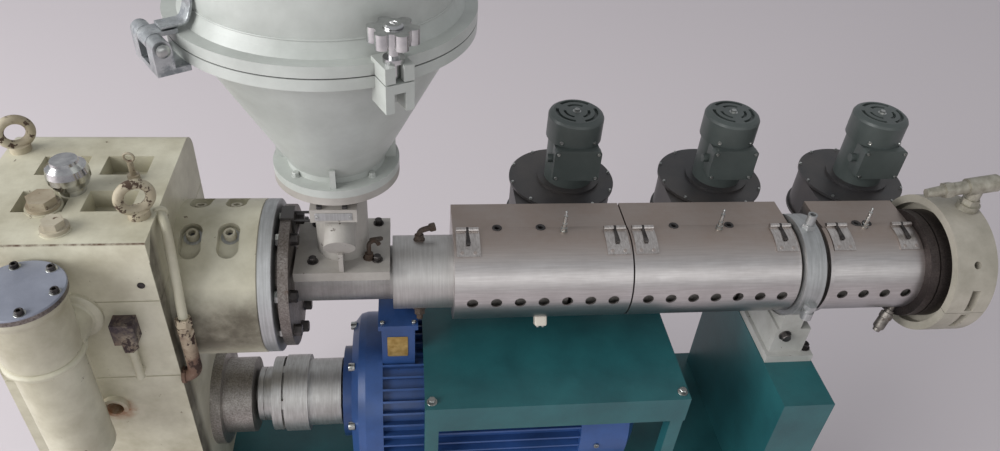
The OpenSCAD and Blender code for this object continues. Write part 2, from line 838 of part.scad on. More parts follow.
module oil_filter_lid() {
    slope_t = 3;
    slope = 8;
    color("slategray") placed() translate([x_filter, y_filter, filter_top]) {
        cylinder(h = filter_lid_t - slope_t, d = filter_lid_d);
        translate([0, 0, filter_lid_t - slope_t])
            cylinder(h = slope_t, d1 = filter_lid_d, d2 = filter_lid_d - slope);
    }
}

// The pipe leaves the gearbox's face, bends down, passes a brazed sleeve and follows the housing to its nut
module oil_pipe() {
    ferrule = 8;
    ferrule_len = 6;
    sunk = 3;
    bend = oil_off - sunk;
    sleeve_a = 3;
    sleeve = 2.4;
    drop = 72;
    drop_d = 15;
    color("wheat") placed() {
        union() {
            arc_x(oil_x, oil_low, oil_high) translate([oil_r, 0]) circle(d = oil_d, $fn = 48);
            at_angle(oil_x, oil_high) translate([-bend, sleeve_a / 2, oil_r]) rotate_extrude(angle = 90)
                translate([bend, 0]) circle(d = oil_d, $fn = 48);
            at_angle(oil_x, oil_high) translate([0, -sleeve_a, oil_r]) rotate([-90, 0, 0])
                cylinder(h = 2.5 * sleeve_a, d = oil_d + sleeve);
            at_angle(x_gear, oil_high) translate([0, bend + sleeve_a / 2, oil_r]) rotate([0, 90, 0])
                cylinder(h = ferrule_len, d = oil_d + ferrule);
        }
        translate([fit_x, -gear_w / 2 - fit_out / 2, fit_low - fit_nut_h - drop])
            cylinder(h = drop, d = drop_d);
        translate([fit_x, -gear_w / 2, fit_low - fit_nut_h - drop + ferrule]) rotate([90, 0, 0])
            cylinder(h = fit_out / 2, d = drop_d - 1);
    }
}

module oil_elbow() {
    bend = oil_off - 1;
    z_bend = -seam_low + 14;
    nut_drop = 23;
    collar_t = 6;
    color("dimgray") placed() {
        union() {
            at_angle(oil_x, oil_low) translate([0, 0, oil_r]) rotate([90, 0, 0])
                cylinder(h = oil_nut_h, d = oil_nut_d, $fn = 6);
            translate([oil_x, oil_tube_y, oil_tube_z - nut_drop])
                cylinder(h = oil_nut_h, d = oil_nut_d, $fn = 6);
            translate([oil_x, oil_tube_y, z_bend]) cylinder(h = oil_tube_z + 2 - z_bend, d = elbow_d);
            translate([oil_x - bend, oil_tube_y, z_bend]) rotate([-90, 0, 0]) rotate_extrude(angle = 90)
                translate([bend, 0]) circle(d = elbow_d, $fn = 48);
            translate([x_gear, oil_tube_y, z_bend - bend]) rotate([0, 90, 0])
                cylinder(h = collar_t, d = elbow_d + collar_t);
        }
        union() {
            block([fit_x - fit_len / 2, -gear_w / 2 - fit_out, fit_low], [fit_len, fit_out, fit_h]);
            translate([fit_x, -gear_w / 2 - fit_out / 2, fit_low - fit_nut_h])
                cylinder(h = fit_nut_h, d = fit_out, $fn = 6);
        }
    }
}

module barrel_flange() {
    color("dimgray") placed() difference() {
        union() {
            round_x(x_ring, flange_len - flange_t, flange_neck_d);
            round_x(x_flange - flange_t, flange_t, flange_d);
        }
        round_x(x_ring - past, flange_len + 2 * past, feed_d - 20);
    }
}

module barrel() {
    bore_from = 0;
    color("silver") placed() difference() {
        union() {
            round_x(x_ring, flange_len, feed_d - 20);
            round_x(x_flange, feed_len, feed_d);
            round_x(x_sleeve, sleeve_len, sleeve_d);
            round_x(x_zone1, x_adapter - x_zone1, tube_d);
            round_x(x_clamp, clamp_w, clamp_d - 2 * clamp_wall);
        }
        translate([0, 0, bore_from]) cylinder(h = feed_d, d = feed_bore);
    }
}

module feed_throat() {
    spout_z = gate_z - 16;
    box_off = 7;
    rib_w = 8;
    rib_y = 50;
    rib_h = 40;
    color("darkgray") placed() difference() {
        union() {
            block([-plate_x / 2, -plate_y / 2, z_plate - plate_t], [plate_x, plate_y, plate_t]);
            translate([0, 0, z_plate]) cylinder(h = throat_h - hop_flange_t - z_plate, d = neck_d);
            translate([0, 0, throat_h - hop_flange_t]) cylinder(h = hop_flange_t, d = hop_flange_d);
            block([-gate_x / 2 - box_off, -gate_y, gate_z - gate_h / 2], [gate_x, gate_y, gate_h]);
            translate([0, 0, spout_z]) rotate([90 + spout_tilt, 0, 0]) cylinder(h = spout_len, d = spout_d);
            block([-rib_w / 2, -plate_y / 2 + 2, z_plate], [rib_w, rib_y, rib_h]);
        }
        cylinder(h = throat_h + past, d = feed_bore);
        round_x(-plate_x / 2 - past, plate_x + 2 * past, feed_d + 2 * seat);
    }
}

module sensor_bracket() {
    rod_d = 5;
    rod_len = 32;
    sheet = 4;
    wide = 36;
    from_y = -4;
    drop = 30;
    color("black") placed() union() {
        block([x_flange - flange_t, from_y, flange_d / 2 + seat], [flange_t + seat + sheet, wide, sheet]);
        block([x_flange + seat, from_y, flange_d / 2 - drop], [sheet, wide, drop + seat + sheet]);
        for (y = [from_y + 6, from_y + wide - 6])
            round_x(x_flange + seat, rod_len, rod_d, flange_d / 2 - 6, y);
    }
}

// Outline of a zone cover across the barrel: round front, flat top and square back
module cover_shape(inset = 0) {
    circle(r = cover_r - inset);
    translate([0, -cover_top + inset]) square([cover_back - inset, 2 * (cover_top - inset)]);
}

// A sheet cover over one heating zone, with its cooling holes and the lead holes in its top
module zone_cover(x, len, vents, leads) {
    lead_y = 16;
    color("silver") placed() difference() {
        along_x(x, len) cover_shape();
        along_x(x + sheet_t, len - 2 * sheet_t) cover_shape(sheet_t);
        round_x(x - past, len + 2 * past, tube_d + 2 * run);
        for (i = [0:vents - 1])
            translate([x + len / 2 + (i - (vents - 1) / 2) * vent_pitch, 0, 0]) rotate([90, 0, 0])
                cylinder(h = cover_r + past, d = vent_d);
        for (f = leads) translate([x + f * len, lead_y, cover_top - 2 * sheet_t])
            cylinder(h = 4 * sheet_t, d = lead_hole_d);
    }
}
module zone_cover_1() { zone_cover(x_zone1, zone1_len, 7, [0.25, 0.5]); }
module zone_cover_2() { zone_cover(x_zone2, zone2_len, 7, [0.28, 0.62]); }
// The last cover has a raised rim round its end by the split ring
module zone_cover_3() {
    rim_t = 8;
    rim_h = 5;
    rim_a = 88;
    union() {
        zone_cover(x_zone3, zone3_len, 4, [0.4, 0.52]);
        color("silver") placed() arc_x(x_zone3 - rim_t / 2, -rim_a, rim_a)
            translate([cover_r - sheet_t, -rim_t / 2]) square([sheet_t + rim_h, rim_t]);
    }
}

// Heater bands side by side over one zone
module zone_bands(x, len) {
    edge = 12;
    band_len = 100;
    n = round((len - 2 * edge) / band_len);
    one = (len - 2 * edge - (n - 1) * heater_gap) / n;
    for (i = [0:n - 1]) difference() {
        round_x(x + edge + i * (one + heater_gap), one, heater_d);
        round_x(x + edge + i * (one + heater_gap) - past, one + 2 * past, tube_d);
    }
}
module heater_bands() {
    color("dimgray") placed() {
        zone_bands(x_zone1, zone1_len);
        zone_bands(x_zone2, zone2_len);
        zone_bands(x_zone3, zone3_len);
    }
}

// One strap latch bent round the front of a cover, from its roll at the top
module strap(x) {
    low = 57;
    high = 93;
    slot_a = 84;
    slot_len = 26;
    slot_w = 5;
    lift = 0.5;
    roll_in = 1;
    r_in = cover_r + seat;
    r_roll = r_in + roll_d / 2 + lift;
    difference() {
        union() {
            arc_x(x + strap_w / 2, low, high) translate([r_in, -strap_w / 2]) square([strap_t, strap_w]);
            round_x(x + roll_in, strap_w - 2 * roll_in, roll_d, r_roll * sin(high), -r_roll * cos(high));
        }
        at_angle(x + strap_w / 2, slot_a) translate([-slot_w / 2, -slot_len / 2, cover_r - past])
            cube([slot_w, slot_len, strap_t + 3 * past]);
    }
}

module cover_latches() {
    edge = 4;
    color("lightgray") placed()
        for (x = [x_zone1 + edge, x_zone1 + zone1_len - edge - strap_w, x_zone2 + edge,
            x_zone2 + zone2_len - edge - strap_w, x_zone3 + edge, x_zone3 + zone3_len - edge - strap_w])
            strap(x);
}

// The split ring, with its top fitting and the bolt at its front
module barrel_clamp() {
    slit = 3;
    nut_front = 8;
    nut_d = 26;
    nut_h = 9;
    tube_h = 22;
    tube_in = 11;
    boss_a = 4;
    color("silver") placed() difference() {
        union() {
            round_x(x_clamp, clamp_w, clamp_d);
            translate([x_clamp_mid, -nut_front, clamp_d / 2 - nut_h]) {
                cylinder(h = 2 * nut_h, d = nut_d, $fn = 6);
                cylinder(h = 2 * nut_h + tube_h, d = nut_d - 8);
            }
            translate([x_clamp_mid, -clamp_d / 2 - boss_a, -2 * nut_h]) {
                cylinder(h = nut_h, d = nut_d, $fn = 6);
                translate([0, 0, -nut_h]) cylinder(h = nut_h, d = nut_d - 8);
                translate([0, 0, -3 * nut_h]) cylinder(h = 2 * nut_h, d = nut_d - 4);
            }
        }
        round_x(x_clamp - past, clamp_w + 2 * past, clamp_d - 2 * clamp_wall);
        block([x_clamp - past, clamp_d / 2 - clamp_wall - past, -slit / 2],
            [clamp_w + 2 * past, clamp_wall + 2 * past, slit]);
        translate([x_clamp_mid, -8, clamp_d / 2 + nut_h]) cylinder(h = 2 * tube_h, d = tube_in);
    }
}

module clamp_stand() {
    foot_t = 18;
    foot_side = 2;
    foot_y = stand_y + 24;
    shift = 7;
    z_foot = -ped_drop + foot_t;
    z_neck = -cover_r - 2 * free;
    z_saddle = -cover_r / 2;
    x_foot = x_clamp_mid + ped_shift;
    x_neck = x_clamp - clamp_side + run;
    color("gray") placed() difference() {
        union() {
            block([x_foot - ped_x / 2 + foot_side, -foot_y / 2, -ped_drop],
                [ped_x - 2 * foot_side, foot_y, foot_t]);
            block([x_clamp_mid + shift - stand_x / 2, -stand_y / 2, z_foot],
                [stand_x, stand_y, z_neck - z_foot]);
            block([x_neck, -stand_y / 2, z_neck], [x_clamp + clamp_w - x_neck, stand_y, z_saddle - z_neck]);
        }
        round_x(x_clamp - clamp_w, 3 * clamp_w, clamp_d);
    }
}

module pedestal() {
    color("teal") placed() block([x_clamp_mid + ped_shift - ped_x / 2, -ped_y / 2, z_frame],
        [ped_x, ped_y, -ped_drop - z_frame]);
}

module die_adapter() {
    groove_x = 18;
    groove_w = 3;
    neck_len = 60;
    color("dimgray") placed() difference() {
        union() {
            round_x(x_adapter, adapter_len, adapter_d);
            round_x(x_adapter + adapter_len, collar_len, collar_d);
        }
        round_x(x_adapter + adapter_len - neck_len, neck_len + collar_len + past, outlet_d);
        difference() {
            round_x(x_adapter + groove_x, groove_w, adapter_d + 2 * past);
            round_x(x_adapter + groove_x - past, groove_w + 2 * past, adapter_d - 2 * groove_w);
        }
    }
}

// One half of the die clamp ring; the joint plane falls towards the front by a few degrees
module die_ring_half(s) {
    slit = 1.5;
    fall = 5;
    lip = 16;
    tommy_x = 41;
    tommy_a = 38;
    tommy_deep = 34;
    pocket_x = 46;
    pocket_w2 = 18;
    pocket_a = 20;
    pocket_t = 18;
    big = 2 * die_ring_d;
    r = die_ring_d / 2;
    side = s > 0 ? 0 : 180;
    difference() {
        round_x(x_die_ring, die_ring_w, die_ring_d);
        round_x(x_die_ring - past, die_ring_w + 2 * past, adapter_d + 2 * seat);
        round_x(x_die_ring - past, die_recess + past, die_ring_d - 2 * lip);
        at_angle(x_die_ring - past, -fall + 90 + side) translate([0, -big / 2, -big])
            cube([die_ring_w + 2 * past, big, big + slit / 2]);
        for (a = [tommy_a, 180 - tommy_a]) at_angle(x_die_ring + tommy_x, side + a)
            translate([0, 0, r - tommy_deep]) cylinder(h = tommy_deep + past, d = tommy_d);
        for (a = [side - fall + 2, side + 180 - fall - 2 - pocket_a])
            arc_x(x_die_ring + pocket_x, a, a + pocket_a) translate([r - pocket_t, -pocket_w2 / 2])
                square([pocket_t + past, pocket_w2]);
    }
}
module die_ring_upper() { color("tan") placed() die_ring_half(1); }
module die_ring_lower() { color("tan") placed() die_ring_half(-1); }

module melt_sensor() {
    cup_d = 42;
    cup_h = 12;
    x_stub = x_die_ring + 60;
    z_stub = die_ring_d / 2 + seat;
    z_body = z_stub + sensor_h;
    nose = 14;
    neck_len = 30;
    nut_len = 16;
    boot_len = 34;
    color("silver") placed() union() {
        translate([x_stub, 0, z_stub]) {
            cylinder(h = cup_h, d = cup_d);
            cylinder(h = sensor_h, d = cup_d - 16);
            translate([0, 0, cup_h]) cylinder(h = cup_h, d = cup_d - 8, $fn = 6);
        }
        translate([x_stub - sensor_len / 3, 0, z_body]) rotate([0, 80, 0]) {
            cylinder(h = sensor_len - nose, d = sensor_d);
            translate([0, 0, sensor_len - nose]) cylinder(h = nose, d1 = sensor_d, d2 = sensor_d / 2);
            translate([0, 0, -neck_len]) cylinder(h = neck_len, d = sensor_d - 8);
            translate([0, 0, -neck_len - nut_len]) cylinder(h = nut_len, d = sensor_d - 2, $fn = 6);
            translate([0, 0, -neck_len - nut_len - boot_len]) cylinder(h = boot_len, d1 = sensor_d / 2,
                d2 = sensor_d - 12);
        }
    }
}

// Place of a blower along the barrel
function fan_x(i) = x_zone1 + zone1_len / 2 + fan_shift + i * fan_pitch;
// Thickness of the plate under a blower motor
fan_plate_t = 6;

// A blower housing: round scroll with rims, a motor plate and an outlet duct to the cover's back
module fan_scroll(i) {
    rim_t = 6;
    rim_in = 5;
    duct_edge = 8;
    color("dimgray") placed() translate([fan_x(i), fan_back, scroll_top - scroll_h]) union() {
        cylinder(h = rim_t, r = scroll_r);
        cylinder(h = scroll_h, r = scroll_r - rim_in);
        translate([0, 0, scroll_h - rim_t]) cylinder(h = rim_t, r = scroll_r);
        block([-scroll_r + rim_in, cover_back - fan_back, duct_edge],
            [duct_w, fan_back - cover_back, scroll_h - 2 * duct_edge]);
        translate([motor_shift, 0, scroll_h]) cylinder(h = fan_plate_t, d = fan_motor_d + 30);
    }
}
module fan_scroll_1() { fan_scroll(0); }
module fan_scroll_2() { fan_scroll(1); }
module fan_scroll_3() { fan_scroll(2); }

// A small upright motor: body, cowl with air slots in its top, and a terminal box with its lid
module fan_motor(i) {
    gap = 3;
    turn = 10;
    slots = [[22, 6, 76], [37, 7, 92]];
    slot_t = 5;
    box_z = 32;
    box_out = 15;
    lid_t = 16;
    lid_r = 8;
    gland_d = 18;
    gland_len = 12;
    body_top = fan_motor_h - fan_plate_t;
    y_lid = -fan_motor_d / 2 - box_out;
    color("darkslategray") placed() translate([fan_x(i) + motor_shift, fan_back, scroll_top + fan_plate_t])
        difference() {
            union() {
                cylinder(h = body_top - fan_cowl_h + gap, d = fan_motor_d);
                translate([0, 0, body_top - fan_cowl_h]) cylinder(h = fan_cowl_h - turn, d = fan_cowl_d);
                translate([0, 0, body_top - turn])
                    cylinder(h = turn / 2, d1 = fan_cowl_d, d2 = fan_cowl_d - turn / 2);
                translate([0, 0, body_top - turn / 2])
                    cylinder(h = turn / 2, d1 = fan_cowl_d - turn / 2, d2 = fan_cowl_d - 2 * turn);
                block([-fan_box_x / 2 + gap, y_lid + lid_t, box_z + gap],
                    [fan_box_x - 2 * gap, -y_lid - lid_t, fan_box_z - 2 * gap]);
                translate([0, y_lid, box_z + fan_box_z / 2]) rotate([-90, 0, 0]) linear_extrude(lid_t)
                    offset(r = lid_r) square([fan_box_x - 2 * lid_r, fan_box_z - 2 * lid_r], center = true);
                translate([-fan_box_x / 2 - gland_len + gap, y_lid + 2 * lid_t, box_z + fan_box_z / 2])
                    rotate([0, 90, 0]) cylinder(h = gland_len, d = gland_d);
            }
            for (k = [0:2], p = slots) translate([0, 0, body_top - slot_t])
                rotate([0, 0, 90 + k * 120 - p[2] / 2]) rotate_extrude(angle = p[2])
                    translate([p[0], 0]) square([p[1], slot_t + past]);
        }
}
module fan_motor_1() { fan_motor(0); }
module fan_motor_2() { fan_motor(1); }
module fan_motor_3() { fan_motor(2); }

// Direction of the hopper's hinge about its axis, and the angle from its far side to each knob
hinge_at = -147;
knob_off = 98;
knob_at = [hinge_at + 180 - knob_off, hinge_at + 180 + knob_off];
// Distance of the hinge pin and of the clamp screws from the hopper's axis
hinge_r = hop_ring_d / 2 + hinge_out;
clamp_r = hop_ring_d / 2 + clamp_out;
hinge_z = seam_h + hinge_up;
pin_r = hinge_pin_d / 2;
// Parts of a clamp: how far lugs reach inwards and outwards, and their heights
lug_in = 12;
lug_out = 18;
lug_low_h = 40;
lug_high_h = hop_ring_t + 6;
screw_slot = screw_d + 2 * run;

module hopper_cone() {
    r1 = cone_low_d / 2;
    r2 = body_d / 2 + 10;
    foot_in = 6;
    sink = 30;
    cheek = 12;
    cone_h = seam_h - hop_ring_t - z_cone_low;
    r_sink = r1 + (r2 - r1) * sink / cone_h - 2 * hop_wall;
    color("gainsboro") placed() difference() {
        union() {
            translate([0, 0, throat_h]) cylinder(h = hop_flange_t, d = hop_flange_d);
            translate([0, 0, z_cone]) cylinder(h = z_cone_low - z_cone, r = r1);
            translate([0, 0, z_cone_low]) cylinder(h = seam_h - hop_ring_t - z_cone_low, r1 = r1, r2 = r2);
            translate([0, 0, seam_h - hop_ring_t]) cylinder(h = hop_ring_t, d = hop_ring_d);
            for (a = [0:90:270]) rotate([0, 0, a])
                block([r1 - hop_wall, -gusset_t / 2, z_cone],
                    [hop_flange_d / 2 - foot_in - r1 + hop_wall, gusset_t, gusset_h]);
            for (a = knob_at) rotate([0, 0, a])
                block([hop_ring_d / 2 - lug_in, -lug_w / 2, seam_h - lug_low_h],
                    [lug_in + clamp_out + lug_out, lug_w, lug_low_h]);
        }
        for (a = knob_at) rotate([0, 0, a])
            block([hop_ring_d / 2 + lug_in / 2, -lug_w / 2 + cheek, seam_h - lug_low_h - past],
                [clamp_out + lug_out, lug_w - 2 * cheek, lug_low_h - cheek]);
        translate([0, 0, throat_h - past]) cylinder(h = z_cone_low - throat_h + 2 * past, d = feed_bore);
        translate([0, 0, z_cone_low]) cylinder(h = sink, r1 = feed_bore / 2, r2 = r_sink);
        translate([0, 0, z_cone_low + sink])
            cylinder(h = cone_h - sink, r1 = r_sink, r2 = r2 - 2 * hop_wall);
        translate([0, 0, z_cone_low + cone_h - past]) cylinder(h = hop_ring_t + 2 * past,
            r = body_d / 2 - hop_wall);
    }
}

module hopper_body() {
    top_rim = 8;
    slot = screw_d - 4;
    color("gainsboro") placed() difference() {
        union() {
            translate([0, 0, z_body]) cylinder(h = hop_ring_t, d = hop_ring_d);
            translate([0, 0, z_body + hop_ring_t]) cylinder(h = shoulder_h / 2,
                d1 = hop_ring_d - 2 * shoulder_h, d2 = body_d + shoulder_h / 2);
            translate([0, 0, z_body + hop_ring_t + shoulder_h / 2]) cylinder(h = shoulder_h / 2,
                d1 = body_d + shoulder_h / 2, d2 = body_d);
            translate([0, 0, z_body]) cylinder(h = body_h, d = body_d);
            translate([0, 0, z_body + body_h - top_rim]) cylinder(h = top_rim, d = body_d + 2 * top_rim);
            for (a = knob_at) rotate([0, 0, a])
                block([hop_ring_d / 2 - lug_in, -lug_w / 2, z_body],
                    [lug_in + clamp_out + lug_out, lug_w, lug_high_h]);
        }
        translate([0, 0, z_body - past]) cylinder(h = body_h + 2 * past, d = body_d - 2 * hop_wall);
        for (a = knob_at) rotate([0, 0, a]) {
            translate([clamp_r, 0, z_body - past]) cylinder(h = lug_high_h + 2 * past, d = screw_slot);
            block([clamp_r, -slot / 2, z_body - past], [2 * lug_out, slot, lug_high_h + 2 * past]);
        }
    }
}

module hopper_lid() {
    edge_t = 6;
    crown_d = 160;
    crown_h = 10;
    post_x = 50;
    post_d = 12;
    bar_d = 14;
    color("gainsboro") placed() translate([0, 0, z_body + body_h]) union() {
        cylinder(h = edge_t, d = body_d + 16);
        translate([0, 0, edge_t]) cylinder(h = lid_h - edge_t, d1 = body_d, d2 = crown_d);
        translate([0, 0, lid_h]) cylinder(h = crown_h, d = crown_d);
        for (s = [-1, 1]) translate([s * post_x, 0, lid_h + crown_h - past])
            cylinder(h = lid_handle_h - crown_h + past, d = post_d);
        round_x(-post_x - bar_d / 2, 2 * post_x + bar_d, bar_d, lid_h + lid_handle_h);
    }
}

// Everything of the hinge is drawn with the pin along Y, then turned to its place
module hinge_place() {
    rotate([0, 0, hinge_at]) translate([hinge_r, 0, hinge_z]) children();
}
middle_w = 30;
barrel_r = 12;

module hopper_hinge_base() {
    plate = 8;
    pin_over = 4;
    low = -hinge_up - hop_ring_t;
    reach = hinge_out + 4;
    ear = leaf_w / 2 - middle_w / 2 - run;
    color("silver") placed() hinge_place() union() {
        for (s = [-1, 1]) difference() {
            union() {
                translate([0, s > 0 ? middle_w / 2 + run : -leaf_w / 2, 0]) rotate([-90, 0, 0])
                    cylinder(h = ear, r = barrel_r);
                block([-barrel_r, s > 0 ? middle_w / 2 + run : -leaf_w / 2, low],
                    [2 * barrel_r, ear, -low]);
            }
            translate([0, -leaf_w, 0]) rotate([-90, 0, 0]) cylinder(h = 2 * leaf_w, r = pin_r);
        }
        block([-reach, -leaf_w / 2, low - plate], [reach + barrel_r, leaf_w, plate]);
        translate([0, -leaf_w / 2 - pin_over, 0]) rotate([-90, 0, 0])
            cylinder(h = leaf_w + 2 * pin_over, r = pin_r);
    }
}

module hopper_hinge_leaf() {
    leaf_t = 6;
    z_leaf = hop_ring_t + 2 - hinge_up;
    color("silver") placed() hinge_place() difference() {
        union() {
            translate([0, -middle_w / 2, 0]) rotate([-90, 0, 0]) cylinder(h = middle_w, r = barrel_r);
            block([-hinge_out - 4, -middle_w / 2, z_leaf + seat], [hinge_out + 4, middle_w, leaf_t]);
        }
        translate([0, -leaf_w, 0]) rotate([-90, 0, 0]) cylinder(h = 2 * leaf_w, r = pin_r + seat);
    }
}

// A star knob with six lobes on its captive screw
module star_knob(a) {
    stem = 48;
    washer_t = 6;
    lobe_n = 6;
    tip = 0.4;
    color("silver") placed() rotate([0, 0, a]) translate([clamp_r, 0, z_body]) union() {
        translate([0, 0, tip]) cylinder(h = stem, d = screw_d);
        translate([0, 0, lug_high_h + tip]) cylinder(h = washer_t, d = screw_d + 12);
        translate([0, 0, stem]) cylinder(h = knob_h, d = knob_d);
        for (i = [0:lobe_n - 1]) rotate(i * 360 / lobe_n) translate([knob_d / 2, 0, stem])
            cylinder(h = knob_h, d = lobe_d);
    }
}
module knob_front() { star_knob(knob_at[0]); }
module knob_back() { star_knob(knob_at[1]); }

base_frame();
frame_feet();
gearbox_base();
gearbox_middle();
gearbox_cover();
lifting_eyes();
breather_cap();
gearbox_plugs();
thrust_housing();
output_ring();
input_cap();
oil_filter();
oil_filter_lid();
oil_pipe();
oil_elbow();
coupling();
motor_body();
motor_end_shield();
motor_fan_cowl();
motor_guard();
barrel_flange();
barrel();
feed_throat();
sensor_bracket();
zone_cover_1();
zone_cover_2();
zone_cover_3();
heater_bands();
cover_latches();
barrel_clamp();
clamp_stand();
pedestal();
die_adapter();
die_ring_upper();
die_ring_lower();
melt_sensor();
fan_scroll_1();
fan_scroll_2();
fan_scroll_3();
fan_motor_1();
fan_motor_2();
fan_motor_3();
hopper_cone();
hopper_body();
hopper_lid();
hopper_hinge_base();
hopper_hinge_leaf();
knob_front();
knob_back();
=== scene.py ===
# %% [markdown]
# # A single-screw plastic extruder
# The CAD model gives every casting, cover and shaft its true size and place. This lesson dresses
# it: real finishes on the CAD parts, then the screws and small metalwork that a machine shop adds
# last. We load the model first, and measure the boxes of the parts that pieces are placed on.

# %% Load the imported model
import math

import bpy
import numpy as np
from mathutils import Matrix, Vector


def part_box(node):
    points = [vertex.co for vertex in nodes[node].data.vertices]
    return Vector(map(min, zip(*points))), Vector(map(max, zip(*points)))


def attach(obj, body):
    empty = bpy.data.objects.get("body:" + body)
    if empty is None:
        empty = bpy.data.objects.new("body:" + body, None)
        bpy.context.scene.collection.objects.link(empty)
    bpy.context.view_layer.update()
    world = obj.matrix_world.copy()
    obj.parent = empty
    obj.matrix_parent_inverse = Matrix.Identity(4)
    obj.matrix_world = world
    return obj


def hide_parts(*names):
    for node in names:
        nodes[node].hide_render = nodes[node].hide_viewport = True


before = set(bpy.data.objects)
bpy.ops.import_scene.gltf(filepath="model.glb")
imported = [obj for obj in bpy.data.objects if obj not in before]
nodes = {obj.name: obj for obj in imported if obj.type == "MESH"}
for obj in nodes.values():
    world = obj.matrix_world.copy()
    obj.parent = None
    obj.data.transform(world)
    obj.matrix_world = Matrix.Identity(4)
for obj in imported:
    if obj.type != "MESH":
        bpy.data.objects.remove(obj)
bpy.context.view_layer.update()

# %% [markdown]
# ## Camera
# The view is from above the operator's side. Its lens and place were worked out from the round
# rings and straight edges of the machine. We build the camera's three axes from yaw, pitch and
# roll, which is easier to read than Euler angles.

# %% Camera from yaw, pitch and roll
YAW, PITCH, ROLL = (math.radians(a) for a in (8.98, 38.21, 4.86))
SENSOR = 36.0
FOCAL_PX, PICTURE_W = 769.9, 1000
CAMERA_AT = (-0.0683, -1.1068, 1.9923)    # in metres
right = np.array([math.cos(YAW), -math.sin(YAW), 0.0])
ahead = np.array([math.sin(YAW) * math.cos(PITCH), math.cos(YAW) * math.cos(PITCH), -math.sin(PITCH)])
above = np.cross(right, ahead)
cam_x = math.cos(ROLL) * right + math.sin(ROLL) * above
cam_y = math.cos(ROLL) * above - math.sin(ROLL) * right
camera = bpy.data.objects.new("camera", bpy.data.cameras.new("camera"))
camera.data.sensor_width = SENSOR
camera.data.lens = FOCAL_PX * SENSOR / PICTURE_W
camera.data.clip_end = 60
camera.matrix_world = Matrix.Translation(CAMERA_AT) @ Matrix(
    np.column_stack([cam_x, cam_y, -ahead]).tolist()).to_4x4()
bpy.context.collection.objects.link(camera)
bpy.context.scene.camera = camera
print("lens", round(camera.data.lens, 2), "mm")

# %% [markdown]
# ## Colours and nodes
# Paint charts and colour pickers speak sRGB, while the renderer counts light, so one function
# turns hex codes to linear values. A second one adds a shader node with its settings and links,
# which keeps every material readable as a list of steps.

# %% Colour and node helpers
def srgb(code):
    """Linear colour of a hex code: c / 12.92 up to 0.04045, and ((c + 0.055) / 1.055) ** 2.4 above."""
    c = np.array([int(code[i:i + 2], 16) for i in (0, 2, 4)]) / 255
    return (*np.where(c <= 0.04045, c / 12.92, ((c + 0.055) / 1.055) ** 2.4).tolist(), 1.0)


def add(tree, kind, ins=None, **settings):
    """Add one shader node: settings are its properties, ins its inputs, each a value or a socket."""
    new = tree.nodes.new("ShaderNode" + kind)
    for name, value in settings.items():
        setattr(new, name, value)
    for name, value in (ins or {}).items():
        if isinstance(value, bpy.types.NodeSocket):
            tree.links.new(value, new.inputs[name])
        else:
            new.inputs[name].default_value = value
    return new


def ramp(node, stops):
    """Give a Color Ramp its stops: (position, hex code or grey value)."""
    marks = node.color_ramp.elements
    while len(marks) < len(stops):
        marks.new(0.5)
    for mark, (place, value) in zip(marks, stops):
        mark.position = place
        mark.color = srgb(value) if isinstance(value, str) else (value, value, value, 1)
    return node


def start(name):
    """A new material with an empty tree, its shader, and the object's own coordinates in metres."""
    mat = bpy.data.materials.new(name)
    mat.use_nodes = True
    tree = mat.node_tree
    tree.nodes.clear()
    shader = add(tree, "BsdfPrincipled")
    add(tree, "OutputMaterial", {"Surface": shader.outputs[0]})
    place = add(tree, "TexCoord").outputs["Object"]
    return mat, tree, shader, place


# %% [markdown]
# ## Enamel paint
# Cast iron and sheet steel here are brushed or sprayed with enamel. Three things make such paint
# read as real: slow changes of tone from dust and oil, a fine orange-peel bump, and chips where
# the dark primer and rust come through. Noise in object space gives all three, and its scale is
# worked out from the grain's size in millimetres.

# %% Enamel paint
# grain and scratches are too fine to show at this distance, so both are drawn three times as coarse
COARSER = 3


def enamel(name, clean, dirty, chip, roughness, peel_mm=1.2, bump=0.25, chips=0.62, soil=0.5):
    """Enamel on metal. clean, dirty and chip are hex codes; peel_mm is the size of the paint's grain."""
    mat, t, shader, place = start(name)
    slow = add(t, "TexNoise", {"Vector": place, "Scale": 9.0, "Detail": 6.0, "Roughness": 0.62})
    tone = ramp(add(t, "ValToRGB", {"Fac": slow.outputs["Fac"]}), [(0.35, clean), (0.5 + soil / 2, dirty)])
    spots = add(t, "TexNoise", {"Vector": place, "Scale": 55.0, "Detail": 8.0, "Roughness": 0.7})
    where = ramp(add(t, "ValToRGB", {"Fac": spots.outputs["Fac"]}), [(chips, 0.0), (chips + 0.02, 1.0)])
    mix = add(t, "Mix", {0: where.outputs["Color"], 6: tone.outputs["Color"], 7: srgb(chip)},
              data_type="RGBA")
    grain = add(t, "TexNoise", {"Vector": place, "Scale": 1000 / peel_mm / COARSER, "Detail": 3.0})
    rough = add(t, "Mix", {0: where.outputs["Color"], 2: roughness, 3: 0.85}, data_type="FLOAT")
    low = add(t, "Math", {0: where.outputs["Color"], 1: -1.5}, operation="MULTIPLY")
    high = add(t, "Math", {0: low.outputs[0], 1: grain.outputs["Fac"]}, operation="ADD")
    relief = add(t, "Bump", {"Height": high.outputs[0], "Strength": bump, "Distance": 0.0006})
    for socket, source in (("Base Color", mix.outputs[2]), ("Roughness", rough.outputs[0]),
                           ("Normal", relief.outputs[0])):
        t.links.new(source, shader.inputs[socket])
    shader.inputs["IOR"].default_value = 1.5
    return mat


# %% [markdown]
# ## Bare metal
# Turned, brushed and rolled steel differ mostly in how their fine scratches run. A noise that is
# stretched along one axis gives brushing; the same noise in colour and roughness gives the dull
# and bright streaks of a surface that oil and hands have reached.

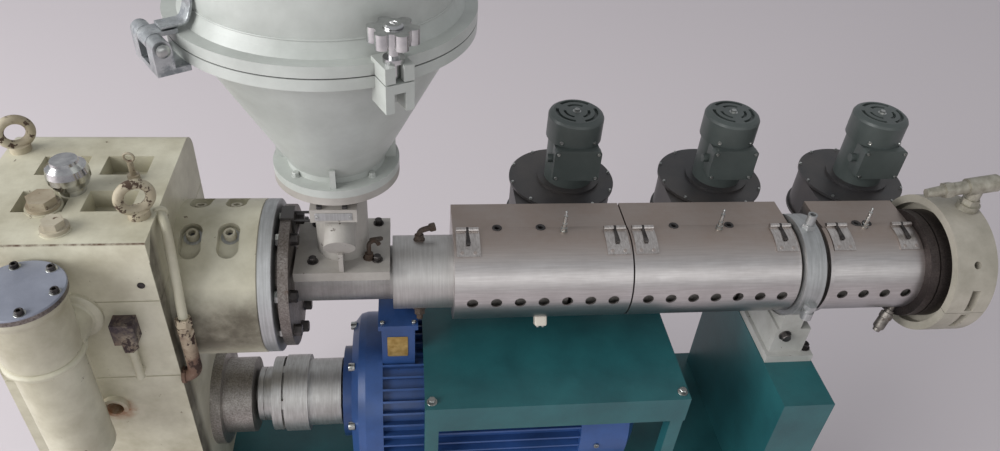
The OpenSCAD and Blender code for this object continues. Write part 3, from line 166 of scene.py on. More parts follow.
# %% Bare metal
def bare_metal(name, light, dark, roughness, stretch=(1, 1, 1), grain_mm=1.0, bump=0.15, spread=0.12,
               rust=None, rust_at=0.7, metallic=1.0):
    """Bare steel. stretch slows the pattern along an axis, so scratches run that way; rust is a hex code."""
    mat, t, shader, place = start(name)
    scaled = add(t, "Mapping", {"Vector": place, "Scale": stretch})
    lines = add(t, "TexNoise", {"Vector": scaled.outputs[0], "Scale": 1000 / grain_mm / COARSER,
                                "Detail": 4.0})
    cloud = add(t, "TexNoise", {"Vector": place, "Scale": 14.0, "Detail": 7.0, "Roughness": 0.65})
    both = add(t, "Math", {0: lines.outputs["Fac"], 1: cloud.outputs["Fac"]}, operation="MULTIPLY")
    tone = ramp(add(t, "ValToRGB", {"Fac": both.outputs[0]}), [(0.12, dark), (0.38, light)])
    colour, metal = tone.outputs["Color"], None
    rough = add(t, "MapRange", {"Value": cloud.outputs["Fac"], "To Min": roughness + spread,
                                "To Max": roughness - spread})
    rough_out = rough.outputs[0]
    if rust:
        spots = add(t, "TexNoise", {"Vector": place, "Scale": 38.0, "Detail": 9.0, "Roughness": 0.7})
        where = ramp(add(t, "ValToRGB", {"Fac": spots.outputs["Fac"]}),
                     [(rust_at - 0.1, 0.0), (rust_at, 1.0)])
        mask = where.outputs["Color"]
        colour = add(t, "Mix", {0: mask, 6: colour, 7: srgb(rust)}, data_type="RGBA").outputs[2]
        rough_out = add(t, "Mix", {0: mask, 2: rough_out, 3: 0.85}, data_type="FLOAT").outputs[0]
        metal = add(t, "Mix", {0: mask, 2: metallic, 3: 0.1}, data_type="FLOAT").outputs[0]
    relief = add(t, "Bump", {"Height": lines.outputs["Fac"], "Strength": bump, "Distance": 0.0003})
    t.links.new(colour, shader.inputs["Base Color"])
    t.links.new(rough_out, shader.inputs["Roughness"])
    t.links.new(relief.outputs[0], shader.inputs["Normal"])
    if metal:
        t.links.new(metal, shader.inputs["Metallic"])
    else:
        shader.inputs["Metallic"].default_value = metallic
    return mat


# %% [markdown]
# ## The finishes of this machine
# Each slot of the CAD model gets the finish that the real piece has. A name says what the metal is
# and how it was treated, and the comment above it says what that gives the eye. Paint comes first.

# %% Painted finishes
finishes = {
    # thick brush paint on sand-cast iron: satin, yellowed in clouds, with a few dark chips
    "gear_cream": enamel("cream enamel on cast iron", "cbc7b3", "a29c86", "4f3b2c", 0.42,
                         soil=0.4, chips=0.67),
    # sprayed sheet: smoother and glossier than the castings, hardly chipped
    "hopper_grey": enamel("grey enamel on sheet steel", "b8bcb7", "9c9f9a", "6d6a62", 0.34,
                          soil=0.6, chips=0.74, bump=0.12),
    # handled with every load of granules: dull and chipped
    "throat_grey": enamel("grey enamel on cast steel", "ada9a3", "88837c", "4b433c", 0.5, chips=0.65),
    # primer that never got a top coat: matt, brown where it is knocked off
    "stand_grey": enamel("grey primer on steel plate", "adada9", "8c8b85", "54483c", 0.5, chips=0.65),
    # deep satin green, darker where oil has soaked in
    "frame_green": enamel("dark green enamel on welded steel", "255c60", "1c474c", "3a2f28", 0.38,
                          chips=0.72),
    # near black, with brown specks of wear
    "black_paint": enamel("black enamel on steel", "2b2a2b", "3a3735", "5a4a3e", 0.42, chips=0.7),
    # black under a thin film of pale dust
    "scroll_black": enamel("black enamel on blower housings", "343335", "4a4542", "6b625a", 0.42,
                           chips=0.73),
    # greenish grey satin, with a few bright specks of bare aluminium
    "fan_grey": enamel("dark grey enamel on motors", "4e5553", "3f4543", "8a8a86", 0.4, chips=0.77),
    # glossy blue that goes dark between the fins
    "motor_blue": enamel("blue enamel on cast iron", "31528a", "243c66", "2a2624", 0.34, chips=0.71),
    # thin coat, so grey metal shows through the blue
    "lid_blue": enamel("blue-grey enamel on a filter lid", "8f93a0", "6f737f", "3a3634", 0.38,
                       chips=0.68),
    # oxide skin of a hot casting: matt, with a coarse grain
    "clamp_beige": enamel("heat-greyed steel casting", "a8a296", "7d796c", "5a4c40", 0.6,
                          peel_mm=3.0, bump=0.5, chips=0.7),
}
print("painted finishes:", len(finishes))

# %% [markdown]
# Bare metal comes next. A turned piece has its tool marks round the barrel, so its pattern is slow
# in Y and Z, and rolled sheet has them along the barrel, so its pattern is slow in X.

# %% Metal finishes
ROUND_BARREL, ALONG_BARREL = (1, 0.05, 0.05), (0.05, 1, 1)
finishes |= {
    # fine lathe marks: pale, with soft streaks of light across them
    "machined": bare_metal("turned steel ring", "c0c1c1", "a2a3a2", 0.55, ROUND_BARREL, bump=0.05,
                           spread=0.05),
    # oil film on raw steel: brownish, patchy shine
    "dark_steel": bare_metal("oiled dark steel", "96908b", "605853", 0.5, rust="4f3a2c", rust_at=0.74),
    # nitriding leaves a hard, even grey under the lathe marks
    "barrel_steel": bare_metal("turned nitrided steel", "c6c4c1", "b2afac", 0.48, ROUND_BARREL,
                               rust="6a5748", rust_at=0.83, bump=0.05, spread=0.05),
    # mill finish: one broad soft band of light along the cover
    "stainless": bare_metal("rolled stainless sheet", "c9c5c3", "b5b0ae", 0.4, ALONG_BARREL,
                            spread=0.07, bump=0.03),
    # steel that has been hot many times: hardly shines
    "heater_metal": bare_metal("ceramic band heater steel", "b5b0ab", "8a8580", 0.6, metallic=0.4),
    # spangled zinc, greyer in spots of 7 mm
    "galvanised": bare_metal("zinc-plated steel", "cdd0d0", "8b8f92", 0.4, grain_mm=7.0,
                             rust="7d8084", rust_at=0.6),
    # the only mirror on the machine
    "chrome": bare_metal("chromium plate", "d8d8d6", "a9a9ab", 0.18, grain_mm=5.0, spread=0.06),
    # rust over nearly all of it: brown and matt
    "rusty": bare_metal("rusted iron", "5f544c", "3b332d", 0.75, rust="49392e", rust_at=0.58,
                        metallic=0.3),
    # scale from the heat of the die: dark, brown in places
    "adapter_dark": bare_metal("heat-blackened steel", "5b5452", "3f3938", 0.55, rust="3f2d26",
                               rust_at=0.76),
}
print("with metal:", len(finishes))

# %% [markdown]
# The CAD nodes come with plain materials that are named for their slots. Each one is swapped for
# the finish of the same name, and the mesh stays as it is.

# %% Give the CAD nodes their finishes
for obj in nodes.values():
    for held in obj.material_slots:
        name = held.material.name.split(".")[0] if held.material else ""
        if name in finishes:
            held.material = finishes[name]
        else:
            print("no finish for", obj.name, name)
print("nodes dressed:", len(nodes))

# %% [markdown]
# ## Dirt where it gathers, and painted shade
# Dust settles on level tops, grease gathers in corners, and rust runs from an open port. Some marks
# below are painted shade and painted reflection instead. A stain takes the colour that a finish
# already has and mixes another over it, only where the object's own coordinates lie in given ranges
# or near a point, with a ragged border from noise.

# %% Stains and painted shade by place
def stain(mat, code, ranges=(), near=None, strength=1.0, size=30.0, rough=0.8, least=0.35):
    """Mix a hex code over a finish, at least by a share least where the noise is low.

    ranges holds (axis, none, full) in metres, and near is (point, full, none).
    """
    t = mat.node_tree
    shader = next(n for n in t.nodes if n.bl_idname == "ShaderNodeBsdfPrincipled")
    place = next(n for n in t.nodes if n.bl_idname == "ShaderNodeTexCoord").outputs["Object"]
    axes = add(t, "SeparateXYZ", {"Vector": place})
    ragged = add(t, "TexNoise", {"Vector": place, "Scale": size, "Detail": 5.0, "Roughness": 0.65})
    level = add(t, "MapRange", {"Value": ragged.outputs["Fac"], "From Min": 0.35, "From Max": 0.6,
                                "To Min": least * strength, "To Max": strength}).outputs[0]
    if near:
        gap = add(t, "VectorMath", {0: place, 1: near[0]}, operation="DISTANCE")
        edge = add(t, "MapRange", {"Value": gap.outputs["Value"], "From Min": near[2], "From Max": near[1]})
        level = add(t, "Math", {0: level, 1: edge.outputs[0]}, operation="MULTIPLY").outputs[0]
    for axis, none, full in ranges:
        part = add(t, "MapRange", {"Value": axes.outputs[axis], "From Min": none, "From Max": full})
        level = add(t, "Math", {0: level, 1: part.outputs[0]}, operation="MULTIPLY").outputs[0]
    changes = (("Base Color", "RGBA", (6, 7, 2), srgb(code)), ("Roughness", "FLOAT", (2, 3, 0), rough))
    for name, kind, (old_in, new_in, out), value in changes:
        old = shader.inputs[name].links[0].from_socket
        both = add(t, "Mix", {0: level, old_in: old, new_in: value}, data_type=kind)
        t.links.new(both.outputs[out], shader.inputs[name])
    return mat


# brown on the covers' level tops, partly dust and partly a painted dark reflection, and painted
# shade with a painted bluish reflection below their middle
stain(finishes["stainless"], "a89a91", [("Z", 1.066, 1.0895)], strength=0.95, size=14, least=0.8, rough=0.6)
stain(finishes["stainless"], "74777e", [("Z", 1.0, 0.93)], strength=0.8, size=12, least=0.75, rough=0.36)
# grease round the feed section, which the bare sleeve beyond it hasn't got
stain(finishes["barrel_steel"], "6b6866", [("X", -0.084, -0.1)], strength=0.65, size=16, least=0.6,
      rough=0.55)
# painted shade on the gearbox's right side beside its front, which faces away from the lamp, and
# rust below the drain port
side_x, front_y = -0.4595, -0.165
stain(finishes["gear_cream"], "5f594c", [("X", side_x - 0.0012, side_x - 0.0004),
                                         ("Y", front_y + 0.045, front_y + 0.025)], size=18, least=0.7)
stain(finishes["gear_cream"], "8a5a34", near=((-0.583, front_y, 0.832), 0.018, 0.036), strength=0.9, size=60)
print("nodes in the cream enamel:", len(finishes["gear_cream"].node_tree.nodes))

# %% [markdown]
# Some pieces differ from the rest of their slot. The lifting eyes are handled and chipped, the
# latches are the only bright sheet, and the pipe fittings weep. They get a finish of their own.

# %% Finishes of single pieces
def repaint(node, mat):
    """Give a CAD node another finish of its own."""
    for held in nodes[node].material_slots:
        held.material = mat


# paint that ropes and hands have worn: chips over a third of it
repaint("lifting_eyes", enamel("worn cream paint on steel", "b9b09a", "8e8068", "4a392d", 0.6,
                               soil=0.3, chips=0.55, bump=0.5))
# polished by thumbs: brighter than the covers
repaint("cover_latches", bare_metal("bright stainless latch sheet", "d2ccc8", "aaa39e", 0.3, (1, 0.2, 1),
                                    bump=0.05))
# thin paint that the spanner has scraped
repaint("gearbox_plugs", enamel("thin cream paint on plugs", "b3ab98", "857761", "5a4636", 0.5,
                                soil=0.3, chips=0.6))
# half paint, half rust, and a dark block at the left
fittings = enamel("rust-stained pipe fittings", "c2b59c", "6b5141", "3d2c24", 0.6, soil=0.1, chips=0.53,
                  bump=0.5)
repaint("oil_elbow", stain(fittings, "3b3238", [("X", -0.478, -0.482)]))
# turned steel that oil has dulled
repaint("coupling", bare_metal("worn coupling steel", "cdccc9", "aeaba7", 0.5, (1, 0.1, 0.1),
                               rust="54463c", rust_at=0.78))
# unpainted casting: grey and patchy
repaint("input_cap", bare_metal("grey cast steel cap", "bdb8b2", "857f79", 0.5, rust="54463c", rust_at=0.76))
# zinc under warm dust, so it shines little
repaint("melt_sensor", bare_metal("dusty cast zinc", "b1ada0", "827d70", 0.55, grain_mm=5.0,
                                  rust="5c5346", rust_at=0.7, metallic=0.6))
print("finishes:", len(finishes), "and", len(bpy.data.materials) - len(finishes), "more")

# %% [markdown]
# ## Small parts as grids of points
# Every nut, screw and pipe below is a grid: rings of points, row after row. The same few functions
# serve a turned screw, a cut plate and a bent pipe, because each is a ring carried along a line.
# Lengths are in millimetres about the machine's two axes, as on a shop drawing: x from the hopper's
# axis along the barrel, y and z from the barrel's axis. They become metres only in the last step.

# %% Corners and skins
AXES_CROSS = np.array([-180.0, 0.0, 1000.0])    # the two axes' crossing, in the object's millimetres


def corners(node):
    """Lowest and highest corner of a CAD node, in machine millimetres."""
    return [np.array(c) * 1000 - AXES_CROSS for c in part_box(node)]


def skin(grid, loop=False):
    """Faces of a grid of rings: quads between rows, closed round each ring, and a cap at both ends.

    With loop the last row joins the first one instead, as on a ring with a hole.
    """
    rows, n = grid.shape[:2]
    here = np.arange(rows * n).reshape(rows, n)
    here = np.vstack([here, here[:1]]) if loop else here
    beside = np.roll(here, -1, axis=1)
    faces = np.stack([here[:-1], beside[:-1], beside[1:], here[1:]], axis=2).reshape(-1)
    sizes = np.full(len(faces) // 4, 4)
    if not loop:
        faces, sizes = np.concatenate([faces, here[0, ::-1], here[-1]]), np.append(sizes, [n, n])
    return grid.reshape(-1, 3), faces, sizes


# %% [markdown]
# A turned part is a profile carried round its axis, as on a lathe. A row may be a polygon instead
# of a circle, so a hexagon head comes from the same profile.

# %% Turned parts
def turned(profile, sides=12, loop=False):
    """Carry rows of (radius, height) round the Z axis.

    A row's third number k makes that section a polygon of k sides: the radius, half the width
    across flats, is divided by the cosine of the angle from the middle of the nearest flat.
    """
    phi = np.arange(sides) * 2 * np.pi / sides
    r, z, k = np.array([(*row, 0)[:3] for row in profile], float).T[:, :, None]
    half = np.pi / np.maximum(k, 1)
    cut = np.where(k > 0, np.cos((phi + half) % (2 * half) - half), 1.0)
    grid = np.stack(np.broadcast_arrays(r / cut * np.cos(phi), r / cut * np.sin(phi), z), axis=2)
    return skin(grid, loop)


# %% [markdown]
# A plate is an outline with a few rings above one another, each a little smaller or larger, which
# rolls or chamfers its edge.

# %% Plates
def slab(outline, rows):
    """A plate cut to an outline of (x, y) points, counterclockwise. Each row is (inset, height).

    A corner moves in by inset times 2 m / (m . m), where m is the sum of its two edges' normals.
    """
    p = np.asarray(outline, float)
    along = np.roll(p, -1, axis=0) - p
    inward = np.column_stack([-along[:, 1], along[:, 0]]) / np.linalg.norm(along, axis=1)[:, None]
    m = inward + np.roll(inward, 1, axis=0)
    m = 2 * m / (m ** 2).sum(axis=1)[:, None]
    rings = [np.column_stack([p + inset * m, np.full(len(p), height)]) for inset, height in rows]
    return skin(np.array(rings))


# %% [markdown]
# Pipes and straps are a section carried along a path whose corners are rounded first. The sections
# are circles and rounded rectangles.

# %% Paths and sections
def swept(path, section, side=(0.0, 0.0, 1.0)):
    """Carry a closed section of (u, v) points along a path: u points to side x slope, v to slope x u."""
    p = np.asarray(path, float)
    slope = np.gradient(p, axis=0)
    slope /= np.linalg.norm(slope, axis=1)[:, None]
    u = np.cross(side, slope)
    u /= np.linalg.norm(u, axis=1)[:, None]
    v = np.cross(slope, u)
    s = np.asarray(section, float)
    return skin(p[:, None] + s[:, :1] * u[:, None] + s[:, 1:] * v[:, None])


def circle(radius, sides=12):
    """Points of a circle, counterclockwise."""
    phi = np.arange(sides) * 2 * np.pi / sides
    return radius * np.column_stack([np.cos(phi), np.sin(phi)])


def rounded(width, height, radius, n=5):
    """Points of a rectangle about the origin whose corners are quarter circles of n points each."""
    a = np.linspace(0, np.pi / 2, n) + np.arange(4)[:, None] * np.pi / 2
    x = (width / 2 - radius) * np.array([1, -1, -1, 1])[:, None] + radius * np.cos(a)
    y = (height / 2 - radius) * np.array([1, 1, -1, -1])[:, None] + radius * np.sin(a)
    return np.column_stack([x.reshape(-1), y.reshape(-1)])


def bent(points, reach, n=7):
    """A path whose corners P are rounded by (1 - s)^2 A + 2 s (1 - s) P + s^2 B.

    A and B lie on the path, reach millimetres before and after the corner.
    """
    p = np.asarray(points, float)
    way = np.diff(p, axis=0)
    way /= np.linalg.norm(way, axis=1)[:, None]
    a, b = p[1:-1] - reach * way[:-1], p[1:-1] + reach * way[1:]
    s = np.linspace(0, 1, n)[None, :, None]
    arcs = (1 - s) ** 2 * a[:, None] + 2 * s * (1 - s) * p[1:-1, None] + s ** 2 * b[:, None]
    return np.vstack([p[:1], arcs.reshape(-1, 3), p[-1:]])


print("one screw head has", len(turned([(9, 0), (9, 8), (8, 9)])[2]), "faces")

# %% [markdown]
# A screw is drawn once, standing on the origin, and repeated by frames: a place and three axes
# each. On round parts the places come from an angle about the barrel, counted from the front
# (the operator's side) upward.

# %% Frames
def standing(places, ways, turn=0.0):
    """Frames at places with Z along ways and X level, turned by so many degrees about Z."""
    p, z = np.broadcast_arrays(np.atleast_2d(np.asarray(places, float)), np.asarray(ways, float))
    z = z / np.linalg.norm(z, axis=1)[:, None]
    x = np.cross(np.where(np.abs(z[:, 2:]) > 0.95, (0.0, 1.0, 0.0), (0.0, 0.0, 1.0)), z)
    x /= np.linalg.norm(x, axis=1)[:, None]
    y = np.cross(z, x)
    a = np.radians(turn) * np.ones((len(p), 1))
    return np.stack([np.cos(a) * x + np.sin(a) * y, np.cos(a) * y - np.sin(a) * x, z, p], axis=2)


def around(x, degrees, radius, turn=0.0):
    """Frames on a cylinder about the barrel, looking outward."""
    x, a, r = (v.ravel() for v in np.broadcast_arrays(x, np.radians(degrees), radius))
    out = np.column_stack([0 * a, -np.cos(a), np.sin(a)])
    return standing(out * r[:, None] + np.column_stack([x, 0 * x, 0 * x]), out, turn)


def on_circle(centre, radius, degrees, way=(0.0, 0.0, 1.0)):
    """Frames on a circle about a centre, all looking along way. At 0 degrees the place is at X."""
    frame0 = standing(centre, way)[0]
    a = np.radians(np.asarray(degrees, float))
    ring = np.column_stack([radius * np.cos(a), radius * np.sin(a), 0 * a, 1 + 0 * a])
    return standing(ring @ frame0.T, way)


# %% [markdown]
# The copies become one mesh in one go. It is smooth except at edges sharper than the given angle.

# %% Copies and pieces
def repeat(shape, where):
    """Copies of a shape, one for each frame: a point moves to x X + y Y + z Z + place."""
    points, faces, sizes = shape
    moved = np.einsum("nij,vj->nvi", where[:, :, :3], points) + where[:, None, :, 3]
    steps = np.arange(len(where))[:, None] * len(points)
    return moved.reshape(-1, 3), (faces + steps).reshape(-1), np.tile(sizes, len(where))


def put(name, shapes, slot, body="machine", finish=None, edge=34):
    """Join shapes into one piece with a finish, the slot's unless one is given, and let it ride on a body."""
    counts = [len(points) for points, _, _ in shapes]
    offsets = np.cumsum([0] + counts[:-1])
    points = (np.vstack([s[0] for s in shapes]) + AXES_CROSS) / 1000
    faces = np.concatenate([s[1] + k for s, k in zip(shapes, offsets)])
    sizes = np.concatenate([s[2] for s in shapes])
    mesh = bpy.data.meshes.new(name)
    mesh.vertices.add(len(points))
    mesh.vertices.foreach_set("co", points.ravel())
    mesh.loops.add(len(faces))
    mesh.loops.foreach_set("vertex_index", faces)
    mesh.polygons.add(len(sizes))
    mesh.polygons.foreach_set("loop_start", np.cumsum(sizes) - sizes)
    mesh.polygons.foreach_set("use_smooth", np.ones(len(sizes), bool))
    mesh.update(calc_edges=True)
    mesh.validate()
    mesh.set_sharp_from_angle(angle=math.radians(edge))
    mesh.materials.append(finish or finishes[slot])
    piece = bpy.data.objects.new(name, mesh)
    bpy.context.collection.objects.link(piece)
    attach(piece, body)
    return piece


# %% [markdown]
# ## The screws of the machine
# Three heads cover nearly all of it: a hexagon head on a washer, a nut with the end of its stud,
# and a round head with a hexagon socket. Blackened screws hold the castings, and zinc-plated ones
# the sheet metal and the motors.

# %% Screw heads
def hex_head(flat, high, washer=0.0, lift=1.5):
    """A hexagon head with a chamfered top on its washer. flat is its width across two flats."""
    r, w = flat / 2, max(washer, flat) / 2
    return turned([(w, 0), (w, lift * 0.8), (w - 0.3, lift), (r, lift, 6), (r, lift + high * 0.86, 6),
                   (r * 0.94, lift + high)])


def stud_nut(flat, high, washer, stud, out):
    """A nut on its washer, with the stud's chamfered end standing out of it."""
    r, w, s = flat / 2, washer / 2, stud / 2
    return turned([(w, 0), (w, 2), (r, 2, 6), (r, 2 + high * 0.88, 6), (r * 0.93, 2 + high), (s, 2 + high),
                   (s, 2 + high + out), (s - 0.8, 2.8 + high + out)])


def socket_head(wide, high):
    """A round head with a rolled edge and a hexagon socket that goes half its height deep."""
    r = wide / 2
    return turned([(r, 0), (r, high * 0.88), (r * 0.9, high), (r * 0.6, high), (r * 0.52, high * 0.97, 6),
                   (r * 0.5, high * 0.4, 6)])


def washer(outer, thick):
    """A flat washer with a soft edge."""
    return turned([(outer / 2, 0), (outer / 2, thick * 0.7), (outer / 2 - thick * 0.4, thick)])


print("a socket head has", len(socket_head(12, 7)[2]), "faces")

# %% [markdown]
# A screw's own finish tells its grade at a glance, so all screws share two metals and one paint.

# %% Screw finishes
# oil-blackened heat-treated steel: near black, half shiny, brown where the oil is gone
black_screw = bare_metal("blackened screw steel", "5b5755", "2e2b2b", 0.42, grain_mm=5.0, rust="4b3425",
                         rust_at=0.78, metallic=0.85)
# thin bright zinc: pale and shiny, greyer in spots
zinc_screw = bare_metal("zinc-plated screw steel", "c9cac6", "8d8f8e", 0.3, grain_mm=5.0)
# the housing's screws were painted over with the casting: cream, with painted shade in each socket
# as a black disc
screw_cream = enamel("cream enamel over socket screws", "bab5a2", "8d8672", "5a4a3c", 0.5, soil=0.4,
                     chips=0.68)
print("screw finishes:", black_screw.name, "and", zinc_screw.name)

# %% [markdown]
# ## Filter
# The oil filter is a cast bowl under a thick blue-grey lid. Its upper part is wider than the lower
# one, with a rolled bead between them, and a short neck leads into the gearbox. It is turned from
# one profile: radius and height, row after row, as a lathe hand would read it from the drawing.

# %% Filter bowl, neck and lid
bowl_at = np.array([-442.0, -234.0, 0.0])
upright = standing(bowl_at, (0, 0, 1))
bowl_rows = [(10, -186), (44, -182), (50, -174), (51.5, 50), (54, 53), (58, 54), (60.5, 57), (60.5, 61),
             (58, 64), (55, 65), (56.5, 70), (57.5, 156), (59, 163), (63, 169), (63.5, 173), (63.5, 178),
             (20, 178)]
neck = turned([(48, 0), (48, 5), (45, 8), (38, 10), (35, 14), (35, 60)], 40)
lid_edge = turned([(64, 178.4), (65, 179.4), (65, 187.4), (40, 187.6)], 72)
lid_face = turned([(50, 187), (65, 187.4), (65, 189.2), (63.5, 190.4), (10, 190.6)], 72)
bowl = put("filter_bowl", [repeat(turned(bowl_rows, 72), upright),
                           repeat(neck, standing((-420, -165, 70), (0, -1, 0)))], "gear_cream")
put("filter_lid_edge", [repeat(lid_edge, upright)], "dark_steel")
lid_top = put("filter_lid_top", [repeat(lid_face, upright)], "lid_blue")
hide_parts("oil_filter")
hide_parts("oil_filter_lid")
rim = on_circle(bowl_at + (0, 0, 190.3), 54.0, np.arange(6) * 60 + 53)
put("filter_lid_seats", [repeat(washer(17, 0.8), rim)], "galvanised", finish=zinc_screw)
put("filter_lid_screws", [repeat(socket_head(12, 7), rim)], "black_paint", finish=black_screw)
print("bowl faces", len(bowl.data.polygons))

# %% [markdown]
# ## Gearbox edge and oil tube
# The cover is machined on top and front, and the two faces meet in a hard edge, where the paint
# chips first. The CAD cover is rounded there, so a strip with the real section is laid over it.

# %% Hard edge of the cover
# the casting's cream, with primer showing along the edge
chipped = enamel("cream enamel on a hard edge", "cbc7b3", "a29c86", "4f3b2c", 0.42, soil=0.4, chips=0.67)
stain(chipped, "5a4636", [("Z", 1.2118, 1.2142), ("Y", front_y + 0.003, front_y + 0.001)], size=60,
      least=0.1)
low, high = corners("gearbox_cover")
front, top, soft = low[1], 215.0, 38.0    # soft: the CAD cover's rounding, which this strip fills
edge_line = [(front, top - soft), (front - 0.3, top - soft + 5), (front - 0.3, top - 0.4),
             (front + 0.1, top + 0.3), (front + soft - 5, top + 0.3), (front + soft, top),
             (front + soft - 6, top - 3), (front + 3, top - soft + 6)]
edge_rows = np.array([[(x, y, z) for y, z in edge_line] for x in (low[0] - 0.3, high[0] + 0.3)])
put("cover_edge", [skin(edge_rows)], "gear_cream", finish=chipped, edge=50)
print("edge strip", round(high[0] - low[0]), "mm long")

# %% [markdown]
# The oil tube is a steel pipe that leans against the bearing housing: it leaves its nut upright
# and turns into the gearbox near the top. A circle carried along a rounded path gives the bend
# its even width, and it takes the place of the CAD pipe, whose bend is a plain arc. A small plug
# closes a hole in the cover's front.

# %% Oil tube, drop tube and cover plug
# brush paint on a smooth tube: an even satin cream
tube_cream = enamel("cream enamel on a steel tube", "c6c2ad", "a39c86", "5a4636", 0.4, soil=0.5, chips=0.68)
tube_line = bent([(-256.5, -153.8, 40), (-262, -112, 206), (-281, -72, 207)], 26, 12)
ferrule = turned([(12, 0), (12, 5), (10, 7), (8, 7.4)], 24)
drop, drop_end = turned([(7.5, 0), (7.5, 72)], 20), turned([(7, 0), (7, 14)], 16)
tube = put("oil_tube", [swept(tube_line, circle(8, 20), (1, 0, 0)),
                        repeat(ferrule, standing((-279.5, -75.2, 207), (0.43, -0.9, 0))),
                        repeat(drop, standing((-341.5, -178, -70), (0, 0, 1))),
                        repeat(drop_end, standing((-341.5, -165, -62), (0, -1, 0)))],
           "gear_cream", finish=tube_cream)
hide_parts("oil_pipe")
plug_hole = turned([(6, 0), (6, 1.2), (3.8, 1.6), (3.4, 0.8)], 20)
put("cover_plug", [repeat(plug_hole, standing((-302, front, 130), (0, -1, 0)))], "dark_steel",
    finish=black_screw)
print("points along the tube:", len(tube_line))

# %% [markdown]
# ## Bearing housing and output ring
# The turned output ring is as wide as the painted bearing housing that it closes. Both are lathe
# profiles on the same face, so that no gap shows between them.

# %% Output ring
housing_face = standing((-163.5, 0, 0), (1, 0, 0))
ring_rows = [(60, 24.6), (141.5, 24.6), (142.6, 26), (142.6, 47.5), (141.6, 48.5), (60, 48.5)]
end_rows = [(60, 0), (143, 0), (143, 23), (141.8, 24.2), (60, 24.2)]
ring = put("output_ring_turned", [repeat(turned(ring_rows, 144), housing_face)], "machined")
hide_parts("output_ring")
put("housing_end", [repeat(turned(end_rows, 144), housing_face)], "gear_cream")
print("output ring", 2 * ring_rows[2][0], "mm wide")

# %% [markdown]
# The housing has deep pockets, each with one large socket screw on a faced seat at its steep end.
# The screws stand on the pocket's floor, whose depth is measured from the CAD housing.

# %% Housing screws
low, high = corners("thrust_housing")
pocket_floor = (high[2] - low[2]) / 2 - 16
spots = around([[low[0] + 30], [low[0] + 92]], [73.5, 106.5, -73.5, -106.5], pocket_floor)
# a black disc at each socket's bottom is painted shade in the socket
shade_disc_spots = spots.copy()
shade_disc_spots[:, :, 3] += spots[:, :, 2] * 5.6
put("housing_screw_seats", [repeat(washer(33, 0.8), spots)], "machined")
put("housing_screws", [repeat(socket_head(22, 13.5), spots)], "gear_cream", finish=screw_cream)
put("housing_screw_socket_shade", [repeat(turned([(5.2, 0), (5.0, 0.4)], 6), shade_disc_spots)], "black_paint")
print("housing screws:", len(spots))

# %% [markdown]
# The feet and the end covers are held by plain hexagon screws, in a row and in circles of six.

# %% Foot and cap screws
drive_z = -340.0    # the motor's and the input shaft's axis, below the barrel's
low, high = corners("gearbox_base")
foot_x = low[0] + 20 + np.array([5.0, 75.0, 145.0, 215.0, 275.0])
feet = np.array([(x, y, low[2] + 22) for x in foot_x for y in (low[1] + 14, high[1] - 14)])
end_cap = on_circle((low[0] + 6, 0, drive_z), 68, np.arange(6) * 60 + 30, (-1, 0, 0))
mid_cap = on_circle((corners("gearbox_middle")[0][0], 0, 0), 70, np.arange(6) * 60, (-1, 0, 0))
put("gearbox_foot_bolts", [repeat(hex_head(24, 13, 36, 3), standing(feet, (0, 0, 1), 20))], "dark_steel",
    finish=black_screw)
put("gearbox_cap_bolts", [repeat(hex_head(13, 7, 18), np.concatenate([end_cap, mid_cap]))], "dark_steel",
    finish=black_screw)
print("foot screws:", len(feet), "and cap screws:", len(end_cap) + len(mid_cap))

# %% [markdown]
# ## Barrel flange and feed throat
# The flange's bolts pass it in pairs beside the vertical, so that the bracket on its top has room,
# and their other ends fill the narrow neck on the left. One circle of places serves both ends.

# %% Flange bolts
low, high = corners("barrel_flange")
bolt_at = np.array([21.6, 74.4, -21.6, -74.4, 158.4, 105.6, -158.4, -105.6])
bracket_bolt, bracket_face = 105.6, 4.3    # one head stands on the bracket's sheet
face_x = np.where(bolt_at == bracket_bolt, high[0] + bracket_face, high[0])
left = around(0, bolt_at, 113.0)[:, :, 3] + (high[0] - 18, 0, 0)
right_side = around(0, bolt_at, 113.0)[:, :, 3] + np.column_stack([face_x, 0 * face_x, 0 * face_x])
put("flange_nuts", [repeat(hex_head(20, 6.6, 22, 1.5), standing(left, (-1, 0, 0), 8))], "galvanised",
    finish=zinc_screw)
put("flange_bolt_heads", [repeat(hex_head(19, 12, 24, 2), standing(right_side, (1, 0, 0), 12))], "dark_steel",
    finish=black_screw)
print("flange bolts:", len(bolt_at))

# %% [markdown]
# The feed throat stands on a plate with four bolts and has a small catch, two clips on its gate,
# and a bare plate with two rivets. The catch is a bent rod with a flattened thumb piece.

# %% Throat fittings
plate_bolts = np.array([(62.0, 62.0, 70.0), (62.0, -44.0, 70.0), (-52.0, -46.0, 70.0), (-52.0, 62.0, 70.0)])
put("throat_bolts", [repeat(hex_head(13, 8, 20, 2), standing(plate_bolts, (0, 0, 1), 10))], "dark_steel",
    finish=black_screw)
stem = bent([(47, -38, 70), (47, -34, 101), (59, -30, 105), (66, -38, 100)], 6)
thumb = slab(rounded(26, 9, 4), [(1, 0), (0, 1), (0, 4), (1, 5)])
put("throat_catch", [swept(stem, circle(4), (0, 1, 0)),
                     repeat(hex_head(15, 9, 22, 2), standing((47, -38, 70), (0, 0, 1))),
                     repeat(thumb, standing((60, -29, 103), (0.2, 0, 1), 25))], "rusty")
clip = slab(rounded(9, 15, 2), [(0.6, 0), (0, 0.6), (0, 5), (0.6, 5.6)])
put("gate_clips", [repeat(clip, standing([(-30, -57, 199.8), (12, -57, 199.8)], (0, 0, 1)))], "black_paint")
put("gate_plate", [repeat(slab(rounded(62, 15, 2), [(0.3, 0), (0, 0.3), (0, 0.9), (0.3, 1.2)]),
                          standing((-7, -66, 186), (0, -1, 0)))], "machined")
rivets = standing([(-34, -67, 186), (20, -67, 186)], (0, -1, 0))
put("gate_rivets", [repeat(turned([(2.6, 0), (2.3, 1), (1.2, 1.7)]), rivets)], "galvanised",
    finish=zinc_screw)
print("throat bolts:", len(plate_bolts))

